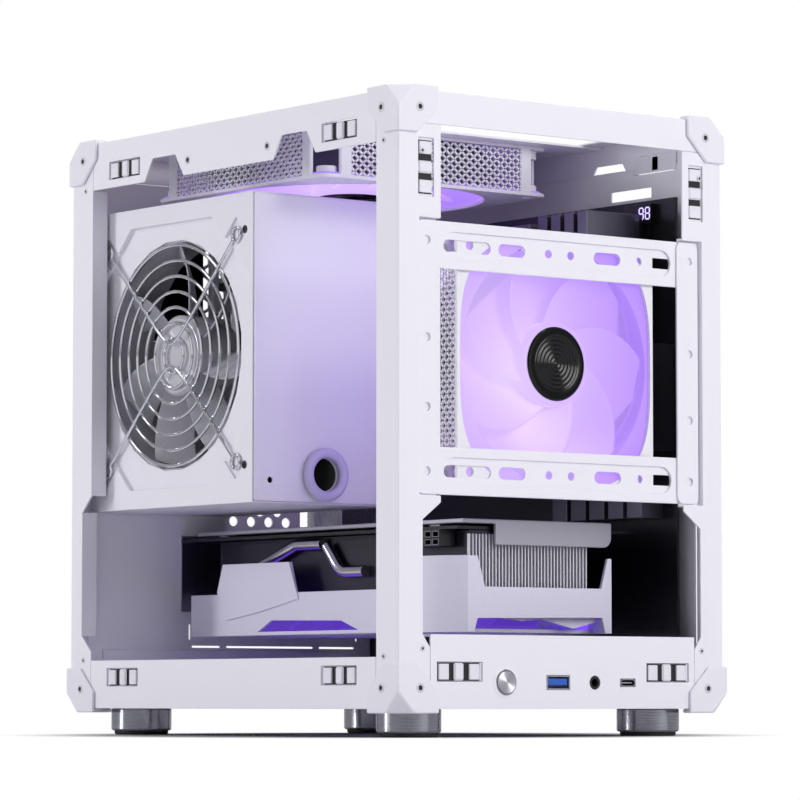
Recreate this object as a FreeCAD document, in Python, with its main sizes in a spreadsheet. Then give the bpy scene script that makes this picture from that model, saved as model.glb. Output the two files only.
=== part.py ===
"""Small cube-shaped computer case with its side, front and top panels off.

A folded steel frame on four turned feet carries an upright power supply, a
main board with its cooler and memory, a lying graphics card and two fans with
lattice walls. X runs from the open side to the board side, Y from the front
to the rear, Z up; the origin is on the ground under the middle of the case.
All sizes are in millimetres.
"""
import FreeCAD, Part
import math
import os
import re

import Sketcher

Vector = FreeCAD.Vector
Rotation = FreeCAD.Rotation

SIZES = [
    # Outer frame of folded sheet
    ("frame_width", 197.0),
    ("frame_depth", 268.0),
    ("foot_height", 13.0),
    ("gauge", 1.0),
    ("seam", 0.2),
    # Corner posts
    ("post_side", 17.1),
    ("post_front", 24.4),
    ("post_neck", 13.8),
    ("post_rear", 9.4),
    ("rear_post_side", 17.6),
    ("rear_post_neck", 9.4),
    ("post_end", 8.0),
    ("post_return", 9.0),
    ("post_foot_top", 28.0),
    ("post_foot_rise", 6.0),
    ("neck_top", 86.0),
    ("neck_rise", 8.0),
    ("rear_neck_top", 98.0),
    ("rear_neck_bottom", 36.0),
    ("bracket_recess", 3.6),
    ("recess_inset", 12.0),
    # Rails
    ("rail_drop", 23.5),
    ("rail_flange", 14.0),
    ("flange_drop", 2.0),
    ("notch_height", 11.0),
    ("notch_top", 19.4),
    ("notch_slope", 7.0),
    ("notch_front", 63.9),
    ("notch_rear_gap", 96.5),
    ("cross_rail_drop", 15.3),
    ("cross_rail_inset", 8.0),
    ("bottom_rail", 23.7),
    ("rear_upstand", 29.6),
    ("io_plate_height", 34.0),
    ("io_plate_inset", 18.2),
    ("io_plate_flange", 8.0),
    # Corner caps
    ("cap_wall", 2.0),
    ("cap_reach", 24.0),
    ("cap_drop", 22.0),
    ("cap_straight", 10.0),
    ("cap_neck", 12.0),
    ("cap_lid_neck", 6.0),
    ("cap_facet", 10.0),
    # Snap windows for the panels
    ("clip_length", 27.0),
    ("clip_width", 9.0),
    ("clip_inset", 45.4),
    ("clip_top_drop", 15.0),
    ("clip_bottom_rise", 15.4),
    ("clip_front_inset", 35.2),
    ("clip_front_rise", 17.0),
    ("clip_post_inset", 15.8),
    ("clip_post_drop", 35.5),
    ("clip_gauge", 0.8),
    ("clip_lap", 2.0),
    ("clip_play", 0.4),
    # Feet
    ("foot_diameter", 30.0),
    ("foot_inset", 25.5),
    ("pad_height", 2.0),
    ("pad_inset", 1.6),
    # Floor vents
    ("vent_width", 12.0),
    ("vent_length", 62.0),
    ("vent_pitch", 34.0),
    ("vent_gap", 10.0),
    # Front controls
    ("button_share", 0.136546),
    ("control_rise", 12.2),
    ("button_diameter", 10.6),
    ("button_proud", 1.2),
    ("button_travel", 0.8),
    ("button_gap", 0.3),
    ("button_rim", 1.8),
    ("button_stem", 7.5),
    ("usb_a_share", 0.454819),
    ("usb_a_width", 14.0),
    ("usb_a_height", 6.6),
    ("usb_wall", 0.5),
    ("jack_share", 0.679719),
    ("jack_diameter", 6.2),
    ("jack_bore", 3.6),
    ("jack_end", 1.0),
    ("usb_c_share", 0.884538),
    ("usb_c_width", 9.4),
    ("usb_c_height", 3.6),
    ("port_depth", 13.0),
    ("port_gap", 0.15),
    ("io_board_depth", 26.0),
    ("io_board_gauge", 1.6),
    ("io_board_margin", 11.0),
    # Front drive and fan bracket
    ("bracket_gauge", 1.2),
    ("bracket_bottom", 97.8),
    ("bracket_top_drop", 59.2),
    ("bracket_rail", 22.0),
    ("bracket_lap", 26.0),
    ("bracket_play", 0.6),
    ("bracket_corner", 4.0),
    ("emboss_depth", 1.0),
    ("emboss_height", 12.6),
    ("emboss_inset", 29.0),
    ("rail_slot_width", 5.6),
    ("drive_hole", 4.0),
    ("drive_hole_inset", 18.2),
    # Fans
    ("fan_depth", 25.0),
    ("front_fan_width", 120.0),
    ("front_fan_rise", 161.5),
    ("top_fan_width", 140.0),
    ("top_fan_rear_gap", 32.5),
    ("fan_flange", 4.0),
    ("fan_wall", 1.5),
    ("fan_rim", 3.4),
    ("fan_corner", 20.0),
    ("fan_round", 5.0),
    ("lattice_bar", 1.6),
    ("lattice_columns", 4),
    ("hub_diameter", 40.0),
    ("hub_cap_diameter", 35.0),
    ("hub_cap_height", 1.4),
    ("hub_wall", 1.8),
    ("tip_gap", 1.0),
    ("blade_gauge", 1.6),
    ("shaft_diameter", 4.0),
    ("shaft_fit", 0.05),
    ("base_height", 4.0),
    ("run_gap", 1.0),
    ("strut_width", 4.0),
    ("base_skin", 1.5),
    ("fan_plate_gauge", 1.2),
    ("fan_plate_margin", 10.0),
    # Power supply
    ("psu_inset", 10.3),
    ("psu_rise", 98.6),
    ("psu_top_gap", 5.2),
    ("psu_height", 150.0),
    ("psu_length", 140.0),
    ("psu_width", 86.0),
    ("psu_gauge", 0.8),
    ("psu_dish", 2.5),
    ("psu_dish_width", 131.0),
    ("psu_dish_cut", 31.0),
    ("psu_fan_width", 120.0),
    ("psu_fan_bore", 114.0),
    ("grille_wire", 1.8),
    ("grille_rings", 5),
    ("grille_proud", 0.4),
    ("grille_outer", 111.0),
    ("grille_step", 19.0),
    ("grille_hole_pitch", 105.0),
    ("grille_loop", 8.0),
    ("grommet_inset", 42.0),
    ("grommet_rise", 14.3),
    ("grommet_diameter", 26.0),
    ("grommet_bore", 16.0),
    ("grommet_proud", 5.0),
    ("inlet_width", 28.0),
    ("inlet_height", 48.0),
    ("inlet_depth", 18.0),
    ("inlet_wall", 2.4),
    ("rocker_width", 13.0),
    ("rocker_height", 18.0),
    ("rocker_gap", 0.4),
    ("honeycomb_flats", 15.0),
    ("honeycomb_pitch", 17.6),
    ("psu_board_gauge", 1.6),
    ("psu_board_stand", 8.0),
    # Main board
    ("tray_gauge", 1.0),
    ("board_height", 244.0),
    ("board_rear_gap", 3.2),
    ("board_gauge", 1.6),
    ("board_stand", 6.7),
    ("board_rise", 4.4),
    ("board_setback", 20.8),
    ("standoff_flats", 6.0),
    ("memory_length", 133.0),
    ("memory_reach", 40.0),
    ("memory_width", 7.0),
    ("memory_pitch", 10.0),
    ("memory_setback", 44.0),
    ("memory_rise", 108.0),
    ("memory_slot", 6.0),
    ("cooler_side", 92.0),
    ("cooler_setback", 108.0),
    ("cooler_rise", 128.0),
    ("cooler_base", 14.0),
    ("cooler_plate", 3.0),
    ("fin_reach", 28.0),
    ("cooler_fin", 1.2),
    ("cooler_fin_pitch", 12.0),
    ("io_shroud_width", 40.0),
    ("io_shroud_depth", 30.0),
    ("io_shroud_height", 150.0),
    ("io_opening_height", 158.8),
    ("io_opening_width", 44.5),
    ("slot_pitch", 20.3),
    ("slot_height", 12.1),
    ("slot_rise", 37.0),
    ("slot_inset", 71.4),
    ("slot_margin", 17.3),
    ("rear_vent", 6.6),
    ("rear_vent_pitch", 11.3),
    # Graphics card
    ("card_inset", 60.0),
    ("card_front", 36.0),
    ("card_pcb_rise", 84.4),
    ("card_pcb_gauge", 1.6),
    ("card_pcb_inset", 66.0),
    ("card_socket_height", 11.0),
    ("card_contact", 7.0),
    ("card_plate_gauge", 2.0),
    ("card_plate_end", 158.0),
    ("card_plate_gap", 1.2),
    ("card_lip", 10.0),
    ("card_lip_round", 5.0),
    ("shroud_end", 158.0),
    ("shroud_bottom", 36.0),
    ("shroud_band", 21.0),
    ("shroud_peak", 36.0),
    ("shroud_wall", 2.0),
    ("shroud_rear_gap", 18.0),
    ("shroud_cut", 11.0),
    ("window_left", 84.0),
    ("window_right", 147.0),
    ("window_slope", 6.0),
    ("ear_front", 162.0),
    ("ear_rear", 219.0),
    ("ear_slope", 5.0),
    ("card_fin", 1.0),
    ("card_fin_pitch", 4.8),
    ("card_fins", 16),
    ("card_fin_inset", 73.0),
    ("card_fin_bottom", 50.5),
    ("card_fin_plate", 2.0),
    ("pipe_diameter", 6.0),
    ("card_fan_bore_share", 0.411215),
    ("card_fan_front_share", 0.28972),
    ("card_fan_rear_share", 0.752336),
    ("card_fan_x", 112.0),
    ("carrier_gauge", 3.0),
    ("carrier_gap", 0.3),
    ("card_hub", 34.0),
    ("power_socket_length", 23.0),
    ("power_socket_height", 8.0),
    ("power_socket_setback", 50.0),
]

# Sizes that follow from others: the frame is as tall as the supply with the fan and sheets over it, the
# controls share the width between the front clips, and the board, card and top fan keep to the rear
DERIVED = [
    (
        "frame_height",
        "psu_rise + psu_height + psu_top_gap + fan_depth + fan_plate_gauge + gauge + flange_drop",
    ),
    ("notch_rear", "frame_depth - notch_rear_gap"),
    ("clip_post_rise", "frame_height - clip_post_drop"),
    ("bracket_top", "frame_height - bracket_top_drop"),
    ("slot_width", "frame_width - slot_inset - slot_margin"),
    ("control_start", "clip_front_inset + clip_length / 2"),
    ("control_span", "frame_width - 2 * control_start"),
    ("button_x", "control_start + button_share * control_span"),
    ("usb_a_x", "control_start + usb_a_share * control_span"),
    ("jack_x", "control_start + jack_share * control_span"),
    ("usb_c_x", "control_start + usb_c_share * control_span"),
    ("top_fan_setback", "frame_depth - top_fan_width - top_fan_rear_gap"),
    ("board_length", "frame_depth - board_setback - board_rear_gap"),
    ("shroud_rear", "frame_depth - shroud_rear_gap"),
    ("card_length", "shroud_rear - card_front"),
    ("card_fan_bore", "card_fan_bore_share * card_length"),
    ("card_fan_front", "card_front + card_fan_front_share * card_length"),
    ("card_fan_rear", "card_front + card_fan_rear_share * card_length"),
]

doc = FreeCAD.newDocument("ComputerCase")
sheet = doc.addObject("Spreadsheet::Sheet", "Sizes")
CELLS = SIZES + [(alias, "=" + formula) for alias, formula in DERIVED]
for row, (alias, value) in enumerate(CELLS, start=1):
    sheet.set(f"A{row}", alias)
    sheet.set(f"B{row}", str(value))
    sheet.setAlias(f"B{row}", alias)
doc.recompute()

ALIASES = {alias for alias, value in CELLS}
PARTS = []


def cell_formula(text):
    """A formula in which every alias names its cell of the sheet."""
    def qualified(match):
        word = match.group()
        return "Sizes." + word if word in ALIASES else word
    return re.sub(r"[a-z]\w*", qualified, str(text))


def bind(item, place, text):
    item.setExpression(place, cell_formula(text))


def keep(item, label):
    """Lists a finished sub-part under the name of its file."""
    item.Label = label
    PARTS.append(item)
    return item


# Datum planes of the frame, as formulas and as numbers
LEFT = "-frame_width / 2"
RIGHT = "frame_width / 2"
FRONT = "-frame_depth / 2"
REAR = "frame_depth / 2"
BASE = "foot_height"
TOP = "foot_height + frame_height"
left_x = -sheet.frame_width / 2
right_x = sheet.frame_width / 2
front_y = -sheet.frame_depth / 2
rear_y = sheet.frame_depth / 2
base_z = sheet.foot_height
top_z = sheet.foot_height + sheet.frame_height


def block(name, x_span, y_span, z_span):
    """A box between two corners, each limit a formula."""
    box = doc.addObject("Part::Box", name)
    for axis, side, (low, high) in zip("xyz", ("Length", "Width", "Height"), (x_span, y_span, z_span)):
        bind(box, "Placement.Base." + axis, low)
        bind(box, side, f"({high}) - ({low})")
    return box


def fused(name, items):
    joined = doc.addObject("Part::MultiFuse", name)
    joined.Shapes = items
    joined.Refine = True
    return joined


def without(name, base, tool):
    cut = doc.addObject("Part::Cut", name)
    cut.Base = base
    cut.Tool = tool
    cut.Refine = True
    return cut


def feature(name, shape):
    """A shape worked out from the sheet's numbers."""
    item = doc.addObject("Part::Feature", name)
    item.Shape = shape
    return item


# Sides of round work by its size: bores and hubs, small rings, shafts and motor bases
BORE_SIDES = 24
ROUND_SIDES = 16
SHAFT_SIDES = 8
BASE_SIDES = 10

# Sketch planes: the two drawing axes, and the sign of the pad that goes up its axis
PLANES = {"XY_Plane": 1, "XZ_Plane": -1, "YZ_Plane": 1}


def bind_point(sketch, geometry, end, point):
    """Ties one end or centre of a sketch line to its two coordinates."""
    for kind, text in zip(("DistanceX", "DistanceY"), point):
        index = sketch.addConstraint(Sketcher.Constraint(kind, -1, 1, geometry, end, 1.0))
        sketch.setExpression(f"Constraints[{index}]", cell_formula(text))


def draw_outline(sketch, points):
    """A closed run of straight lines through points given as formula pairs."""
    count = len(points)
    spread = [Vector(math.cos(i), math.sin(i), 0) for i in range(count)]
    first = sketch.GeometryCount
    for i in range(count):
        sketch.addGeometry(Part.LineSegment(spread[i], spread[(i + 1) % count]), False)
    for i in range(count):
        following = first + (i + 1) % count
        sketch.addConstraint(Sketcher.Constraint("Coincident", first + i, 2, following, 1))
        bind_point(sketch, first + i, 1, points[i])


def rectangle(low, high):
    """The four corners of an upright rectangle between two formula pairs."""
    return [low, (high[0], low[1]), high, (low[0], high[1])]


def sheet_wall(body, plane, level, thickness, outline, windows=()):
    """One flat wall of a folded sheet: an outline with windows, padded."""
    name = f"{body.Name}_{plane}_{len(body.Group)}"
    sketch = body.newObject("Sketcher::SketchObject", name)
    origin = next(item for item in body.Origin.OriginFeatures if item.Role == plane)
    sketch.AttachmentSupport = (origin, [""])
    sketch.MapMode = "FlatFace"
    bind(sketch, "AttachmentOffset.Base.z", f"{PLANES[plane]} * ({level})")
    draw_outline(sketch, outline)
    for window in windows:
        draw_outline(sketch, window)
    pad = body.newObject("PartDesign::Pad", name + "_pad")
    pad.Profile = sketch
    pad.Reversed = PLANES[plane] < 0
    bind(pad, "Length", thickness)
    return pad


def round_window(centre, diameter, sides):
    """A regular window whose flats lie on a circle."""
    corners = []
    for index in range(sides):
        angle = 2 * math.pi * (index + 0.5) / sides
        reach = 0.5 / math.cos(math.pi / sides)
        u, v = (round(reach * turn, 6) for turn in (math.cos(angle), math.sin(angle)))
        corners.append((f"{centre[0]} + ({diameter}) * ({u})", f"{centre[1]} + ({diameter}) * ({v})"))
    return corners


def new_body(name):
    return doc.addObject("PartDesign::Body", name)


def clip_window(centre, along_first=True):
    """The rectangular window that a panel's stud snaps into."""
    length, width = ("clip_length", "clip_width") if along_first else ("clip_width", "clip_length")
    u, v = centre
    return rectangle(
        (f"{u} - {length} / 2", f"{v} - {width} / 2"),
        (f"{u} + {length} / 2", f"{v} + {width} / 2"),
    )


# Floor pan: floor with vents, two side rails and a rear upstand, folded from one sheet
pan = new_body("floor_pan_body")
chamfer = "post_end"
floor_front = f"{FRONT} + gauge"
floor_rear = f"{REAR} - gauge"
floor_outline = [
    (f"{LEFT} + {chamfer}", floor_front),
    (f"{RIGHT} - {chamfer}", floor_front),
    (RIGHT, f"{FRONT} + {chamfer} + gauge"),
    (RIGHT, f"{REAR} - {chamfer} - gauge"),
    (f"{RIGHT} - {chamfer}", floor_rear),
    (f"{LEFT} + {chamfer}", floor_rear),
    (LEFT, f"{REAR} - {chamfer} - gauge"),
    (LEFT, f"{FRONT} + {chamfer} + gauge"),
]
vents = []
for column in (-1, 0, 1):
    for side in (-1, 1):
        middle = f"{column} * vent_pitch"
        near = f"{side} * vent_gap / 2"
        far = f"{side} * (vent_gap / 2 + vent_length)"
        vents.append(rectangle((f"{middle} - vent_width / 2", near), (f"{middle} + vent_width / 2", far)))
sheet_wall(pan, "XY_Plane", BASE, "gauge", floor_outline, vents)
side_rail = rectangle(
    (f"{FRONT} + post_side + seam", BASE),
    (f"{REAR} - rear_post_side - seam", f"{BASE} + bottom_rail"),
)
bottom_clips = [
    clip_window((f"{FRONT} + clip_inset", f"{BASE} + clip_bottom_rise")),
    clip_window((f"{REAR} - clip_inset", f"{BASE} + clip_bottom_rise")),
]
sheet_wall(pan, "YZ_Plane", LEFT, "gauge", side_rail, bottom_clips)
sheet_wall(pan, "YZ_Plane", f"{RIGHT} - gauge", "gauge", side_rail, bottom_clips)
upstand = rectangle(
    (f"{LEFT} + io_plate_inset", BASE),
    (f"{RIGHT} - io_plate_inset", f"{BASE} + rear_upstand"),
)
sheet_wall(pan, "XZ_Plane", f"{REAR} - 2 * gauge", "gauge", upstand)
keep(pan, "floor_pan")

# Corner posts: folded angles, narrower low down; the front pair has a sunk strip for the bracket
for side, side_name in ((-1, "left"), (1, "right")):
    outer = f"{side} * frame_width / 2"
    wall_level = LEFT if side < 0 else f"{RIGHT} - gauge"

    def inward(width):
        """A place measured from the outer side face towards the middle."""
        return f"{side} * (frame_width / 2 - ({width}))"

    front_post = new_body(f"post_front_{side_name}_body")
    side_wall = rectangle(
        (FRONT, f"{BASE} + post_end"),
        (f"{FRONT} + post_side", f"{TOP} - post_end"),
    )
    sheet_wall(front_post, "YZ_Plane", wall_level, "gauge", side_wall)
    front_wall = [
        (outer, f"{BASE} + post_end"),
        (inward("io_plate_inset - seam"), f"{BASE} + post_end"),
        (inward("io_plate_inset - seam"), f"{BASE} + post_foot_top"),
        (inward("post_neck"), f"{BASE} + post_foot_top + post_foot_rise"),
        (inward("post_neck"), f"{BASE} + neck_top"),
        (inward("post_front"), f"{BASE} + neck_top + neck_rise"),
        (inward("post_front"), f"{BASE} + bracket_bottom - bracket_play"),
        (inward("recess_inset"), f"{BASE} + bracket_bottom - bracket_play"),
        (inward("recess_inset"), f"{BASE} + bracket_top + bracket_play"),
        (inward("post_front"), f"{BASE} + bracket_top + bracket_play"),
        (inward("post_front"), f"{TOP} - cross_rail_drop - seam"),
        (outer, f"{TOP} - cross_rail_drop - seam"),
    ]
    post_clip = clip_window((inward("clip_post_inset"), f"{BASE} + clip_post_rise"), False)
    sheet_wall(front_post, "XZ_Plane", FRONT, "gauge", front_wall, [post_clip])
    spans = {
        "floor": ("post_front", "recess_inset - gauge"),
        "wall": ("recess_inset", "recess_inset - gauge"),
    }
    ordered = {}
    for part_name, (deep, shallow) in spans.items():
        pair = (inward(deep), inward(shallow))
        ordered[part_name] = pair if side > 0 else pair[::-1]
    recess_depth = (FRONT, f"{FRONT} + bracket_recess + gauge")
    low_z = f"{BASE} + bracket_bottom - bracket_play"
    high_z = f"{BASE} + bracket_top + bracket_play"
    recess = [
        block(
            f"recess_floor_{side_name}", ordered["floor"],
            (f"{FRONT} + bracket_recess", f"{FRONT} + bracket_recess + gauge"),
            (f"{low_z} - gauge", f"{high_z} + gauge"),
        ),
        block(
            f"recess_wall_{side_name}", ordered["wall"], recess_depth,
            (f"{low_z} - gauge", f"{high_z} + gauge"),
        ),
        block(
            f"recess_sill_{side_name}", ordered["floor"], recess_depth,
            (f"{low_z} - gauge", low_z),
        ),
        block(
            f"recess_head_{side_name}", ordered["floor"], recess_depth,
            (high_z, f"{high_z} + gauge"),
        ),
    ]
    keep(fused(f"post_front_{side_name}", [front_post] + recess), f"post_front_{side_name}")

    rear_post = new_body(f"post_rear_{side_name}_body")
    rear_side_wall = [
        (REAR, f"{BASE} + post_end"),
        (REAR, f"{TOP} - post_end"),
        (f"{REAR} - rear_post_side", f"{TOP} - post_end"),
        (f"{REAR} - rear_post_side", f"{BASE} + rear_neck_top + neck_rise"),
        (f"{REAR} - rear_post_neck", f"{BASE} + rear_neck_top"),
        (f"{REAR} - rear_post_neck", f"{BASE} + rear_neck_bottom"),
        (f"{REAR} - rear_post_side", f"{BASE} + rear_neck_bottom - neck_rise"),
        (f"{REAR} - rear_post_side", f"{BASE} + post_end"),
    ]
    sheet_wall(rear_post, "YZ_Plane", wall_level, "gauge", rear_side_wall)
    rear_wall = rectangle(
        (outer, f"{BASE} + post_end"),
        (inward("post_rear"), f"{TOP} - cross_rail_drop - seam"),
    )
    sheet_wall(rear_post, "XZ_Plane", f"{REAR} - gauge", "gauge", rear_wall)
    if side < 0:
        high_return = rectangle(
            (LEFT, f"{BASE} + rear_neck_top + neck_rise"),
            (f"{LEFT} + post_return", f"{TOP} - rail_drop - seam"),
        )
        sheet_wall(rear_post, "XZ_Plane", f"{REAR} - rear_post_side", "gauge", high_return)
        low_return = rectangle(
            (LEFT, f"{BASE} + rear_neck_bottom"),
            (f"{LEFT} + post_return", f"{BASE} + rear_neck_top"),
        )
        sheet_wall(rear_post, "XZ_Plane", f"{REAR} - rear_post_neck", "gauge", low_return)
    keep(rear_post, f"post_rear_{side_name}")

# Top rails: the side rails have trapezoid notches, snap windows and a sunk top flange
RAIL_FRONT = f"{FRONT} + post_side + seam"
RAIL_REAR = f"{REAR} - rear_post_side - seam"
rail_bottom = f"{TOP} - rail_drop"
rail_outline = [(RAIL_REAR, rail_bottom), (RAIL_REAR, TOP), (RAIL_FRONT, TOP), (RAIL_FRONT, rail_bottom)]
for notch in ("notch_front", "notch_rear"):
    start = f"{FRONT} + {notch}"
    rail_outline += [
        (start, rail_bottom),
        (f"{start} + notch_slope", f"{rail_bottom} + notch_height"),
        (f"{start} + notch_slope + notch_top", f"{rail_bottom} + notch_height"),
        (f"{start} + 2 * notch_slope + notch_top", rail_bottom),
    ]
top_clips = [
    clip_window((f"{FRONT} + clip_inset", f"{TOP} - clip_top_drop")),
    clip_window((f"{REAR} - clip_inset", f"{TOP} - clip_top_drop")),
]
flange_level = f"{TOP} - flange_drop - gauge"
for side, side_name in ((-1, "left"), (1, "right")):
    rail = new_body(f"top_rail_{side_name}_body")
    wall_level = LEFT if side < 0 else f"{RIGHT} - gauge"
    sheet_wall(rail, "YZ_Plane", wall_level, "gauge", rail_outline, top_clips)
    flange = rectangle(
        (f"{side} * frame_width / 2", RAIL_FRONT),
        (f"{side} * (frame_width / 2 - rail_flange)", RAIL_REAR),
    )
    sheet_wall(rail, "XY_Plane", flange_level, "gauge", flange)
    keep(rail, f"top_rail_{side_name}")
for end, end_name in ((-1, "front"), (1, "rear")):
    rail = new_body(f"top_rail_{end_name}_body")
    wall_level = FRONT if end < 0 else f"{REAR} - gauge"
    cross_outline = rectangle(
        (f"{LEFT} + cross_rail_inset", f"{TOP} - cross_rail_drop"),
        (f"{RIGHT} - cross_rail_inset", TOP),
    )
    sheet_wall(rail, "XZ_Plane", wall_level, "gauge", cross_outline)
    flange = rectangle(
        (f"{LEFT} + rail_flange + seam", f"{end} * frame_depth / 2"),
        (f"{RIGHT} - rail_flange - seam", f"{end} * (frame_depth / 2 - rail_flange)"),
    )
    sheet_wall(rail, "XY_Plane", flange_level, "gauge", flange)
    keep(rail, f"top_rail_{end_name}")


def prism(points, along):
    """A straight prism on a closed outline of points."""
    wire = Part.makePolygon(list(points) + [points[0]])
    return Part.Face(wire).extrude(along)


def faceted(rings):
    """A solid of flat triangles between outlines of equal count, closed by the first and the last."""
    faces = [Part.Face(Part.makePolygon(list(ring) + [ring[0]])) for ring in (rings[0], rings[-1])]
    for near, far in zip(rings, rings[1:]):
        for index in range(len(near)):
            after = (index + 1) % len(near)
            for corners in ((near[index], near[after], far[after]), (near[index], far[after], far[index])):
                faces.append(Part.Face(Part.makePolygon(list(corners) + [corners[0]])))
    solid = Part.Solid(Part.Shell(faces))
    if solid.Volume < 0:
        solid.reverse()
    return solid


def corner_cap():
    """Cap over one corner: three walls, each clipped to a slanted tongue, with a facet at the tip."""
    reach = sheet.cap_reach
    drop = sheet.cap_drop
    wall = sheet.cap_wall
    neck = sheet.cap_neck
    lid_neck = sheet.cap_lid_neck
    straight = sheet.cap_straight
    facet = sheet.cap_facet
    inner_facet = facet + wall * math.sqrt(3)
    far = 4 * reach

    def tip(size):
        """The corner tetrahedron that a facet cuts away."""
        corners = [Vector(), Vector(size, 0, 0), Vector(0, size, 0), Vector(0, 0, -size)]
        faces = []
        for skip in range(4):
            triangle = [corner for i, corner in enumerate(corners) if i != skip]
            faces.append(Part.Face(Part.makePolygon(triangle + [triangle[0]])))
        return Part.Solid(Part.Shell(faces))

    outer = Part.makeBox(reach, reach, drop, Vector(0, 0, -drop)).cut(tip(facet))
    hollow = Part.makeBox(far, far, far, Vector(wall, wall, -wall - far)).cut(tip(inner_facet))
    cap = outer.cut(hollow)
    tongue = [(reach, -straight), (reach, -drop), (neck, -drop)]
    side_x = [Vector(0, u, v) for u, v in tongue]
    side_y = [Vector(u, 0, v) for u, v in tongue]
    lid = [Vector(reach, lid_neck, -wall), Vector(reach, reach, -wall), Vector(lid_neck, reach, -wall)]
    walls = ((side_x, Vector(wall, 0, 0)), (side_y, Vector(0, wall, 0)), (lid, Vector(0, 0, wall)))
    for corner, along in walls:
        cap = cap.cut(prism(corner, along))
    return cap


def mirrored(shape, normal):
    return shape.mirror(Vector(), normal)


# Corner caps: one pressing in two hands, four over the top corners and four under the bottom ones
cap_shape = corner_cap()
proud = sheet.cap_wall
caps = {"top": [], "bottom": []}
for level in caps:
    for x_sign in (-1, 1):
        for y_sign in (-1, 1):
            cap = cap_shape.copy()
            if x_sign > 0:
                cap = mirrored(cap, Vector(1, 0, 0))
            if y_sign > 0:
                cap = mirrored(cap, Vector(0, 1, 0))
            if level == "bottom":
                cap = mirrored(cap, Vector(0, 0, 1))
            height = top_z + proud if level == "top" else base_z - proud
            cap.translate(Vector(x_sign * (right_x + proud), y_sign * (rear_y + proud), height))
            caps[level].append(cap)
    keep(feature(f"corner_caps_{level}", Part.makeCompound(caps[level])), f"corner_caps_{level}")

# Front control plate with its fold, between the feet of the front posts
plate = new_body("front_io_plate_body")
control_z = f"{BASE} + control_rise"
plate_outline = rectangle(
    (f"{LEFT} + io_plate_inset", BASE),
    (f"{RIGHT} - io_plate_inset", f"{BASE} + io_plate_height"),
)


def port_opening(centre, width, height):
    """A port's window, its play included."""
    return rectangle(
        (f"{LEFT} + {centre} - {width} / 2 - port_gap", f"{control_z} - {height} / 2 - port_gap"),
        (f"{LEFT} + {centre} + {width} / 2 + port_gap", f"{control_z} + {height} / 2 + port_gap"),
    )


front_clip_z = f"{BASE} + clip_front_rise"
plate_windows = [
    port_opening("usb_a_x", "usb_a_width", "usb_a_height"),
    port_opening("usb_c_x", "usb_c_width", "usb_c_height"),
    clip_window((f"{LEFT} + clip_front_inset", front_clip_z)),
    clip_window((f"{RIGHT} - clip_front_inset", front_clip_z)),
]
plate_windows += [
    round_window((f"{LEFT} + button_x", control_z), "button_diameter + 2 * button_gap", ROUND_SIDES),
    round_window((f"{LEFT} + jack_x", control_z), "jack_diameter + 2 * port_gap", ROUND_SIDES),
]
sheet_wall(plate, "XZ_Plane", FRONT, "gauge", plate_outline, plate_windows)
plate_fold = rectangle(
    (f"{LEFT} + io_plate_inset", FRONT),
    (f"{RIGHT} - io_plate_inset", f"{FRONT} + io_plate_flange"),
)
sheet_wall(plate, "XY_Plane", f"{BASE} + io_plate_height - gauge", "gauge", plate_fold)
keep(plate, "front_io_plate")


def tube(outer, inner, low, high):
    """A plain ring about Z."""
    ring = Part.makeCylinder(outer, high - low, Vector(0, 0, low))
    if inner > 0:
        ring = ring.cut(Part.makeCylinder(inner, high - low, Vector(0, 0, low)))
    return ring


def many_sided(radius, sides, low, high):
    """A regular prism about Z with its corners on the radius."""
    ring = end_ring(radius, sides)
    ring.translate(Vector(0, 0, low))
    return Part.Face(ring).extrude(Vector(0, 0, high - low))


def ring_corners(radius, sides, level):
    """The corners of a regular outline about Z, at one height."""
    turns = [2 * math.pi * (index + 0.5) / sides for index in range(sides)]
    return [Vector(radius * math.cos(turn), radius * math.sin(turn), level) for turn in turns]


def end_ring(radius, sides):
    """A regular outline about Z."""
    corners = ring_corners(radius, sides, 0)
    return Part.makePolygon(corners + [corners[0]])


def shaft(low, high):
    """A fan's shaft about Z."""
    return many_sided(sheet.shaft_diameter / 2, SHAFT_SIDES, low, high)


def bearing(low, high):
    """The bore in which a fan's shaft turns, its flats clear of the shaft by the fit."""
    flats = sheet.shaft_diameter / 2 + sheet.shaft_fit
    return many_sided(flats / math.cos(math.pi / SHAFT_SIDES), SHAFT_SIDES, low, high)


def faced(shape, direction, place):
    """Turns a piece from its own Z to a direction and sets it at a place."""
    moved = shape.copy()
    moved.Placement = FreeCAD.Placement(place, Rotation(Vector(0, 0, 1), direction))
    return moved


# Power button: a turned cap in a rim on the face of the plate
INWARD = Vector(0, 1, 0)
button_place = Vector(left_x + sheet.button_x, front_y, base_z + sheet.control_rise)
button_radius = sheet.button_diameter / 2
rim_bore = button_radius + sheet.button_gap
button_bevel = sheet.button_travel / 2
button = faceted([
    ring_corners(button_radius - button_bevel, ROUND_SIDES, -sheet.button_proud),
    ring_corners(button_radius, ROUND_SIDES, button_bevel - sheet.button_proud),
    ring_corners(button_radius, ROUND_SIDES, sheet.button_stem),
]).removeSplitter()
keep(feature("power_button", faced(button, INWARD, button_place)), "power_button")
rim = many_sided(rim_bore + sheet.button_rim, ROUND_SIDES, -sheet.button_proud / 2, 0)
rim = rim.cut(many_sided(rim_bore / math.cos(math.pi / ROUND_SIDES), ROUND_SIDES, -sheet.button_proud / 2, 0))
keep(feature("power_button_rim", faced(rim, INWARD, button_place)), "power_button_rim")

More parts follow.
